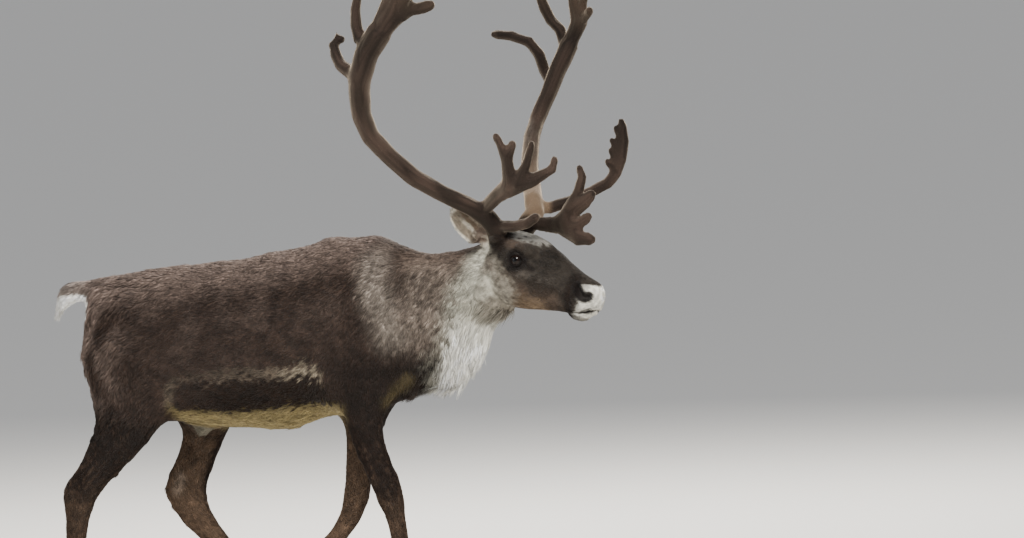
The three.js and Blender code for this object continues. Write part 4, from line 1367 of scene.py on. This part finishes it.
# %% The coat's pieces
RUMP_END, FLANK_END, HIND_END = -330, 20, -130
main_part = root_parts.argmax(1)
COAT_PIECES = {}
for label, side in SIDES:
    own_side = (y < 0) == (side < 0)
    on_trunk = (main_part == 0) & own_side
    COAT_PIECES[f"coat_rump_{label}"] = on_trunk & (x < RUMP_END)
    COAT_PIECES[f"coat_flank_{label}"] = on_trunk & (x >= RUMP_END) & (x < FLANK_END)
    COAT_PIECES[f"coat_shoulder_{label}"] = on_trunk & (x >= FLANK_END)
    COAT_PIECES[f"coat_neck_{label}"] = (main_part == 1) & own_side
    COAT_PIECES[f"coat_face_{label}"] = (main_part == 2) & (root_head[:, 1] * side > 0)
COAT_PIECES["coat_ears"] = main_part == 3
COAT_PIECES["coat_tail"] = main_part == 4
for foot in FEET:
    border = HIND_END if foot.endswith("left") else 0
    on_leg = (main_part >= 5) & (y * LEG_SIDE[foot] > 0)
    COAT_PIECES[f"coat_{foot}"] = on_leg & ((x > border) == foot.startswith("fore"))
SLOTS = {"ears": "coat_pale", "tail": "coat_white", "face": "coat_face", "mane": "coat_pale"}
SLOTS |= {"neck": "coat_pale", "hind": "coat_legs", "fore": "coat_legs"}
SLOTS |= {place: "coat_brown" for place in ("rump", "flank", "shoulder")}
grown = 0
for name, own in COAT_PIECES.items():
    mesh = locks(
        name, roots[own], root_normals[own], lie[own], root_layout[own], root_colours[own],
        length[own] * MM, width[own] * MM, lift[own],
    )
    piece = new_piece(name, mesh, hair_finish)
    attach(piece, "root")
    grown += len(mesh.polygons)
    print(name, len(mesh.polygons))
print("coat triangles so far", grown)

# %% [markdown]
# ## The long hair of the throat, belly and brow
# The throat mane hangs as long soft white locks that overlap like shingles and end in a ragged edge.
# Each one has two rings, so that it can curve, and droops with its own weight.

# %% The throat mane and the tuft under the belly
MANE_COUNT = 13000
skin_body = in_body(P)
throat = mane_share(skin_body) * (shares[:, 0] + shares[:, 1] + 0.1 * shares[:, 2])
throat = throat * soft(skin_body[:, 2], 1000, 920) * soft(N[:, 2], 0.55, 0.1)
sheath = 3 * near(skin_body, SHEATH, 34, 20)
mane_weight = np.maximum(throat, sheath)
roots, root_normals, root_parts, root_openings, root_layout = planted(MANE_COUNT, mane_weight)
length = (26 + 40 * mane_share(in_body(roots))) * rng.uniform(0.6, 1.2, MANE_COUNT)
width = rng.uniform(2.2, 3.8, MANE_COUNT)
lift = rng.uniform(0.12, 0.5, MANE_COUNT)
droop = rng.uniform(0.05, 0.25, MANE_COUNT)
lie = lie_of_coat(roots, root_normals)
to_tip, _ = gathered(roots, root_normals, lie, length, 0.06)
lie = unit(0.55 * lie + 0.45 * to_tip)
root_colours = coat_colours(roots, root_parts, root_openings)
root_colours *= rng.uniform(0.9, 1.08, MANE_COUNT)[:, None]
mane_mesh = locks(
    "coat_mane", roots, root_normals, lie, root_layout, root_colours,
    length * MM, width * MM, lift, rings=2, droop=droop, fatness=0.3,
)
mane_piece = new_piece("coat_mane", mane_mesh, hair_finish)
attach(mane_piece, "root")
grown += len(mane_mesh.polygons)
print("coat triangles with the mane", grown)

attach(skin, "root")
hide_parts(*FLESH)

# %% Lashes along the upper lids
LASHES = 46
for label, side in SIDES:
    on_lid = (np.abs(lid_margin - 1.05) < 0.06) & (in_head(P)[:, 1] * side > 0)
    lid_points = P[on_lid]
    upper = np.where(in_head(lid_points)[:, 2] > 3)[0]
    lash_roots = lid_points[rng.choice(upper, LASHES)]
    outward = unit(lash_roots - from_head([0, side * EYE_SIDE, 0]))
    lash_lie = unit(outward * [1.2, 1.2, 0.2] + [0, 0, -0.15] + rng.normal(0, 0.12, (LASHES, 3)))
    lash_up = unit(np.cross(np.cross(lash_lie, [0, 0, 1.0]), lash_lie))
    lash_mesh = locks(
        f"lashes_{label}", lash_roots, lash_up, lash_lie, np.full((LASHES, 2), 0.5),
        np.tile(COAT["bare_black"], (LASHES, 1)), rng.uniform(7, 11, LASHES) * MM,
        rng.uniform(0.5, 0.8, LASHES) * MM, rng.uniform(-0.3, 0.1, LASHES), rings=2,
    )
    lashes = new_piece(f"lashes_{label}", lash_mesh, hair_finish)
    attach(lashes, "root")
    print(lashes.name, LASHES, "from", len(upper), "places along the lid")

# %% [markdown]
# ## Antlers in velvet
# Growing antlers are bone under a soft skin with very short hair. Copies of each antler's solids are
# joined by a voxel remesh, which also blends the forks as growth does. The surface is relaxed, given
# the shallow grooves where blood vessels ran, with painted shade in them, and covered with fine fuzz
# that is painted paler, as the rim light that velvet catches.

# %% The velvet's finish and colours
ANTLER_PARTS = (
    "beam_lower", "beam_upper", "crown", "brow_tine", "bez_tine", "back_tine", "second_tine",
)
velvet_finish, velvet_shader = hair_material("velvet", 0.8, 700, 0.0012)
velvet_shader.inputs["Sheen Weight"].default_value = 0.6
velvet_shader.inputs["Sheen Roughness"].default_value = 0.4
velvet_shader.inputs["Sheen Tint"].default_value = (0.9, 0.75, 0.58, 1)
VELVET_DARK, VELVET_MID, VELVET_PALE = paint("#211a16"), paint("#372c26"), paint("#75624f")
FAR_BEAM = [(-85, 82, 123), (-122, 112, 151), (-168, 165, 168), (-225, 215, 202), (-278, 272, 244)]


def velvet_relief(points, normals):
    """Shallow grooves that run along the antler, and low knobs."""
    around = normals * 0.03 + points * 0.1
    grooves = soft(np.abs(mottle(around, 0.012, 51)), 0.45, 0.05)
    return around, grooves, mottle(points, 0.03, 52)


def velvet_colours(points, around, grooves):
    """Painted shade in the grooves; dark at the burr and on the crown, and pale low on the far beam."""
    head_points = in_head(points)
    height = head_points[:, 2]
    tone = soft(mottle(points, 0.07, 53) + 0.9 * mottle(around, 0.016, 54), -1.3, 1.5)[:, None]
    colours = VELVET_DARK + tone * (VELVET_MID - VELVET_DARK)
    # painted shade in the grooves
    colours = colours * (1 - 0.35 * grooves)[:, None]
    colours = colours * (1.15 - 0.5 * soft(height, 320, 480))[:, None]
    from_burr = np.linalg.norm(np.abs(head_points) - BURR_AT, axis=1)
    colours = colours * (1 - 0.5 * soft(from_burr, 130, 45))[:, None]
    pale_beam = near(head_points, FAR_BEAM, 60, 36) * soft(height, 285, 130)
    colours = colours + (0.75 * pale_beam[:, None]) * (VELVET_PALE - colours)
    return colours + 0.2 * soft(height, 560, 820)[:, None] * (VELVET_PALE - colours)


# %% Both antlers and their fuzz
ANTLER_SWELL, ANTLER_VOXEL, ANTLER_ROUNDS = 0.003, 0.0035, 46
KNOB_HEIGHT, GROOVE_DEPTH = 0.5, 0.9
FUZZ_COUNT = 9500
# the fuzz is painted this many times paler than the velvet under it, as the rim light that velvet catches
FUZZ_PAINTED_RIM_LIGHT = 2.7
for label, _ in SIDES:
    nodes = [f"antler_{label}_{part}" for part in ANTLER_PARTS]
    antler = new_piece(f"antler_{label}", merged_copy(f"antler_{label}", nodes, ANTLER_SWELL))
    mesh = voxelled(antler, ANTLER_VOXEL)
    points, round_normals = rounded(mesh, ANTLER_ROUNDS)
    around, grooves, knobs = velvet_relief(points, round_normals)
    relief = KNOB_HEIGHT * knobs - GROOVE_DEPTH * grooves
    points = points + round_normals * (relief[:, None] * MM)
    write_points(mesh, points)
    normals = read_normals(mesh)
    mesh.shade_smooth()
    unwrapped(antler)
    colours = velvet_colours(points, around, grooves)
    store_colours(mesh, colours)
    mesh.materials.clear()
    mesh.materials.append(velvet_finish)
    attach(antler, "root")
    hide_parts(*nodes)

    corners, layout = read_corners(mesh), read_layout(mesh)
    starts = read(mesh.polygons, "loop_start", kind=np.int32)
    chosen = starts[rng.integers(0, len(starts), FUZZ_COUNT)]
    own = corners[chosen]
    fuzz_lie = unit(np.cross(normals[own], rng.normal(size=(FUZZ_COUNT, 3))))
    fuzz = locks(
        f"velvet_fuzz_{label}", points[own], normals[own], fuzz_lie, layout[chosen],
        colours[own] * FUZZ_PAINTED_RIM_LIGHT, rng.uniform(2.4, 4.2, FUZZ_COUNT) * MM,
        rng.uniform(0.5, 0.9, FUZZ_COUNT) * MM, rng.uniform(0.5, 1.0, FUZZ_COUNT),
    )
    fuzz_piece = new_piece(f"velvet_fuzz_{label}", fuzz, hair_finish)
    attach(fuzz_piece, "root")
    print(antler.name, len(mesh.polygons) * 2, "and fuzz", len(fuzz.polygons))

# %% [markdown]
# ## Hooves
# Each claw is a horn box with a flat sole, a wall that slopes back from the toe and a straight inner
# side. It starts as a round drum of many levels. Every level is then shaped by named shares of the
# hoof's length and width, and fine growth rings are pressed into the wall.

# %% The horn's finish
horn_finish, horn_shader = new_material("hoof_horn", 0.42)
HORN_COLOURS = ("#15110f", "#2c2520")
horn_colour = new_node(horn_finish, "ShaderNodeValToRGB")
for element, colour in zip(horn_colour.color_ramp.elements, HORN_COLOURS):
    element.color = (*paint(colour), 1)
place = new_node(horn_finish, "ShaderNodeTexCoord")
stretch = new_node(horn_finish, "ShaderNodeMapping", Scale=(30, 30, 260))
streaks = new_node(horn_finish, "ShaderNodeTexNoise", Scale=1.6)
bump = new_node(horn_finish, "ShaderNodeBump", Distance=0.0006)
links = horn_finish.node_tree.links
links.new(place.outputs["Object"], stretch.inputs["Vector"])
links.new(stretch.outputs["Vector"], streaks.inputs["Vector"])
links.new(streaks.outputs["Fac"], horn_colour.inputs["Fac"])
links.new(streaks.outputs["Fac"], bump.inputs["Height"])
links.new(bump.outputs["Normal"], horn_shader.inputs["Normal"])
links.new(horn_colour.outputs["Color"], horn_shader.inputs["Base Color"])

# %% The shapes of a claw and a dewclaw
SOLE_LENGTH, SOLE_WIDTH, HOOF_HEIGHT = 104, 44, 54
TOP_ROOM = 3
SOLE_ROUNDING = 1.6


def drum(levels, segments=28):
    """A closed drum of radius 1 and height 1, cut into levels."""
    shape = bmesh.new()
    bmesh.ops.create_cone(shape, cap_ends=True, segments=segments, radius1=1, radius2=1, depth=1)
    bmesh.ops.translate(shape, verts=shape.verts, vec=(0, 0, 0.5))
    for level in range(1, levels):
        everything = list(shape.verts) + list(shape.edges) + list(shape.faces)
        cut = (0, 0, level / levels)
        bmesh.ops.bisect_plane(shape, geom=everything, plane_co=cut, plane_no=(0, 0, 1))
    return shape


def shaped_claw(side):
    shape = drum(16)
    for vertex in shape.verts:
        angle = math.atan2(vertex.co.y, vertex.co.x)
        share = vertex.co.z
        rings = 1 + 0.010 * math.sin(share * 44) * (1 - share)
        length = SOLE_LENGTH * (1 - 0.30 * share - 0.04 * share**2) / 2 * rings
        width = SOLE_WIDTH * (1 - 0.06 * share - 0.06 * share**3) / 2 * rings
        outward = math.sin(angle)
        across = outward * 0.72 if outward < 0 else outward
        toe_in = max(0, math.cos(angle)) ** 1.5 * 6
        pointed = 1 - 0.16 * max(0, math.cos(angle)) ** 2 * abs(outward)
        middle = SOLE_LENGTH / 2 - 20 * share
        vertex.co = (
            middle + length * math.cos(angle),
            side * (SOLE_WIDTH / 2 + 2 + width * across * pointed - toe_in),
            share * (HOOF_HEIGHT + TOP_ROOM),
        )
    sole = [f for f in shape.faces if all(v.co.z < 0.01 for v in f.verts)]
    rim = [e for f in sole for e in f.edges]
    bmesh.ops.bevel(
        shape, geom=rim, offset=SOLE_ROUNDING, segments=2, profile=0.5, affect="EDGES", material=-1
    )
    return shape


def shaped_dewclaw(side):
    shape = drum(8, 16)
    for vertex in shape.verts:
        share = vertex.co.z
        girth = 14 * (0.35 + 0.65 * math.sin(math.pi * min(1, 0.16 + 0.62 * share)))
        vertex.co = (
            -28 + 26 * share + girth * vertex.co.x,
            side * (30 - 7 * share + 0.72 * girth * vertex.co.y),
            28 + 46 * share,
        )
    return shape


# %% A pair of claws and a pair of dewclaws on each foot
# (the heel's place forward and its height in millimetres, how far the toe points down)
HEELS = {"hind_right": (-652, 0, 0), "hind_left": (-222, 0, 0)}
HEELS |= {"fore_right": (390, 0, 0), "fore_left": (-52, 74, 48)}
for foot, (heel_x, heel_z, toe_down) in HEELS.items():
    at = BODY_AT + Vector((heel_x, LEG_SPREAD * LEG_SIDE[foot], heel_z)) * MM
    tilt = Matrix.Rotation(math.radians(toe_down), 4, "Y")
    stand = Matrix.Translation(at) @ tilt @ Matrix.Scale(MM, 4)
    for label, side in SIDES:
        for kind, maker in (("hoof", shaped_claw), ("dewclaw", shaped_dewclaw)):
            shape = maker(side)
            bmesh.ops.transform(shape, matrix=stand, verts=shape.verts)
            for vertex in shape.verts:
                vertex.co.z = max(0, vertex.co.z)
            bmesh.ops.recalc_face_normals(shape, faces=shape.faces)
            mesh = bpy.data.meshes.new(f"{kind}_{foot}_{label}_horn")
            shape.to_mesh(mesh)
            shape.free()
            mesh.shade_smooth()
            horn = new_piece(mesh.name, mesh, horn_finish)
            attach(horn, "root")
            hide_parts(f"{kind}_{foot}_{label}")
print("claws and dewclaws", 4 * len(HEELS))

# %% [markdown]
# ## Eyes
# A deer's eye is a dark, wet ball with a slight dome at the front and a wide pupil that lies level.
# The ball is a sphere turned so that its pole looks outwards. The pupil and iris are painted from a
# value kept on the mesh, and a smooth surface with the index of tears gives the wet highlight.

# %% The eye's finish
eye_finish, eye_shader = new_material("wet_eye", 0.09)
eye_shader.inputs["Specular IOR Level"].default_value = 0.4
eye_shader.inputs["IOR"].default_value = 1.34
zone = new_node(eye_finish, "ShaderNodeAttribute")
zone.attribute_name = "eye_zone"
iris = new_node(eye_finish, "ShaderNodeValToRGB")
PUPIL, BALL = "#040405", "#17110e"
IRIS_STOPS = {0.36: "#050405", 0.44: "#1a100b", 0.7: "#140d09", 0.84: "#070505"}
ramp = iris.color_ramp.elements
for stop, colour in IRIS_STOPS.items():
    ramp.new(stop).color = (*paint(colour), 1)
ramp[0].color = (*paint(PUPIL), 1)
ramp[-1].color = (*paint(BALL), 1)
eye_finish.node_tree.links.new(zone.outputs["Fac"], iris.inputs["Fac"])
eye_finish.node_tree.links.new(iris.outputs["Color"], eye_shader.inputs["Base Color"])


# %% Both eyeballs
def eye_zone(place, outward, level, upright):
    """0 in the middle of the level pupil, rising to 1 at the back of the ball."""
    sideways, rise = place @ level / EYE_RADIUS, place @ upright / EYE_RADIUS
    pupil = math.hypot(sideways / 1.5, rise / 0.9)
    whole = math.hypot(sideways, rise)
    blend = min(1, whole / 0.8)
    return 1.0 if place @ outward < 0 else min(1, pupil * (1 - blend) + whole * blend)


for label, side in SIDES:
    shape = bmesh.new()
    bmesh.ops.create_uvsphere(shape, u_segments=48, v_segments=32, radius=EYE_RADIUS)
    for vertex in shape.verts:
        spread = vertex.co.normalized().angle(Vector((0, 0, 1)))
        vertex.co *= 1 + 0.05 * math.exp(-((spread / 0.55) ** 2))
    outward = (Vector(EYE_FACES) * Vector((1, side, 1))).normalized()
    turn = outward.to_track_quat("Z", "X").to_matrix().to_4x4()
    bmesh.ops.transform(shape, matrix=turn, verts=shape.verts)
    level = Vector((math.cos(FISSURE_TURN), 0, math.sin(FISSURE_TURN)))
    upright = outward.cross(level)
    zones = [eye_zone(vertex.co, outward, level, upright) for vertex in shape.verts]
    seat = HEAD @ Matrix.Translation(Vector((0, side * EYE_SIDE, 0)) * MM) @ Matrix.Scale(MM, 4)
    bmesh.ops.transform(shape, matrix=seat, verts=shape.verts)
    mesh = bpy.data.meshes.new(f"eyeball_{label}")
    shape.to_mesh(mesh)
    shape.free()
    mesh.attributes.new("eye_zone", "FLOAT", "POINT").data.foreach_set("value", zones)
    mesh.shade_smooth()
    eye = new_piece(mesh.name, mesh, eye_finish)
    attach(eye, "root")
    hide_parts(f"eye_{label}")
    print(eye.name, len(mesh.polygons), "faces, pupil and iris from", round(min(zones), 2))

# %% [markdown]
# ## Closing
# The box of the frame and the box of the finished animal are set side by side, and how far each
# corner of the animal's box moved is printed.

# %% Sizes and the last line
sizes = {"cad": [list(corner) for corner in CAD_BOX], "visual": [list(corner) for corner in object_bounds()]}
for corner, framed, grown_to in zip(("lowest", "highest"), sizes["cad"], sizes["visual"]):
    print(corner, "corner moved by", [round((v - c) / MM, 1) for v, c in zip(grown_to, framed)], "mm")
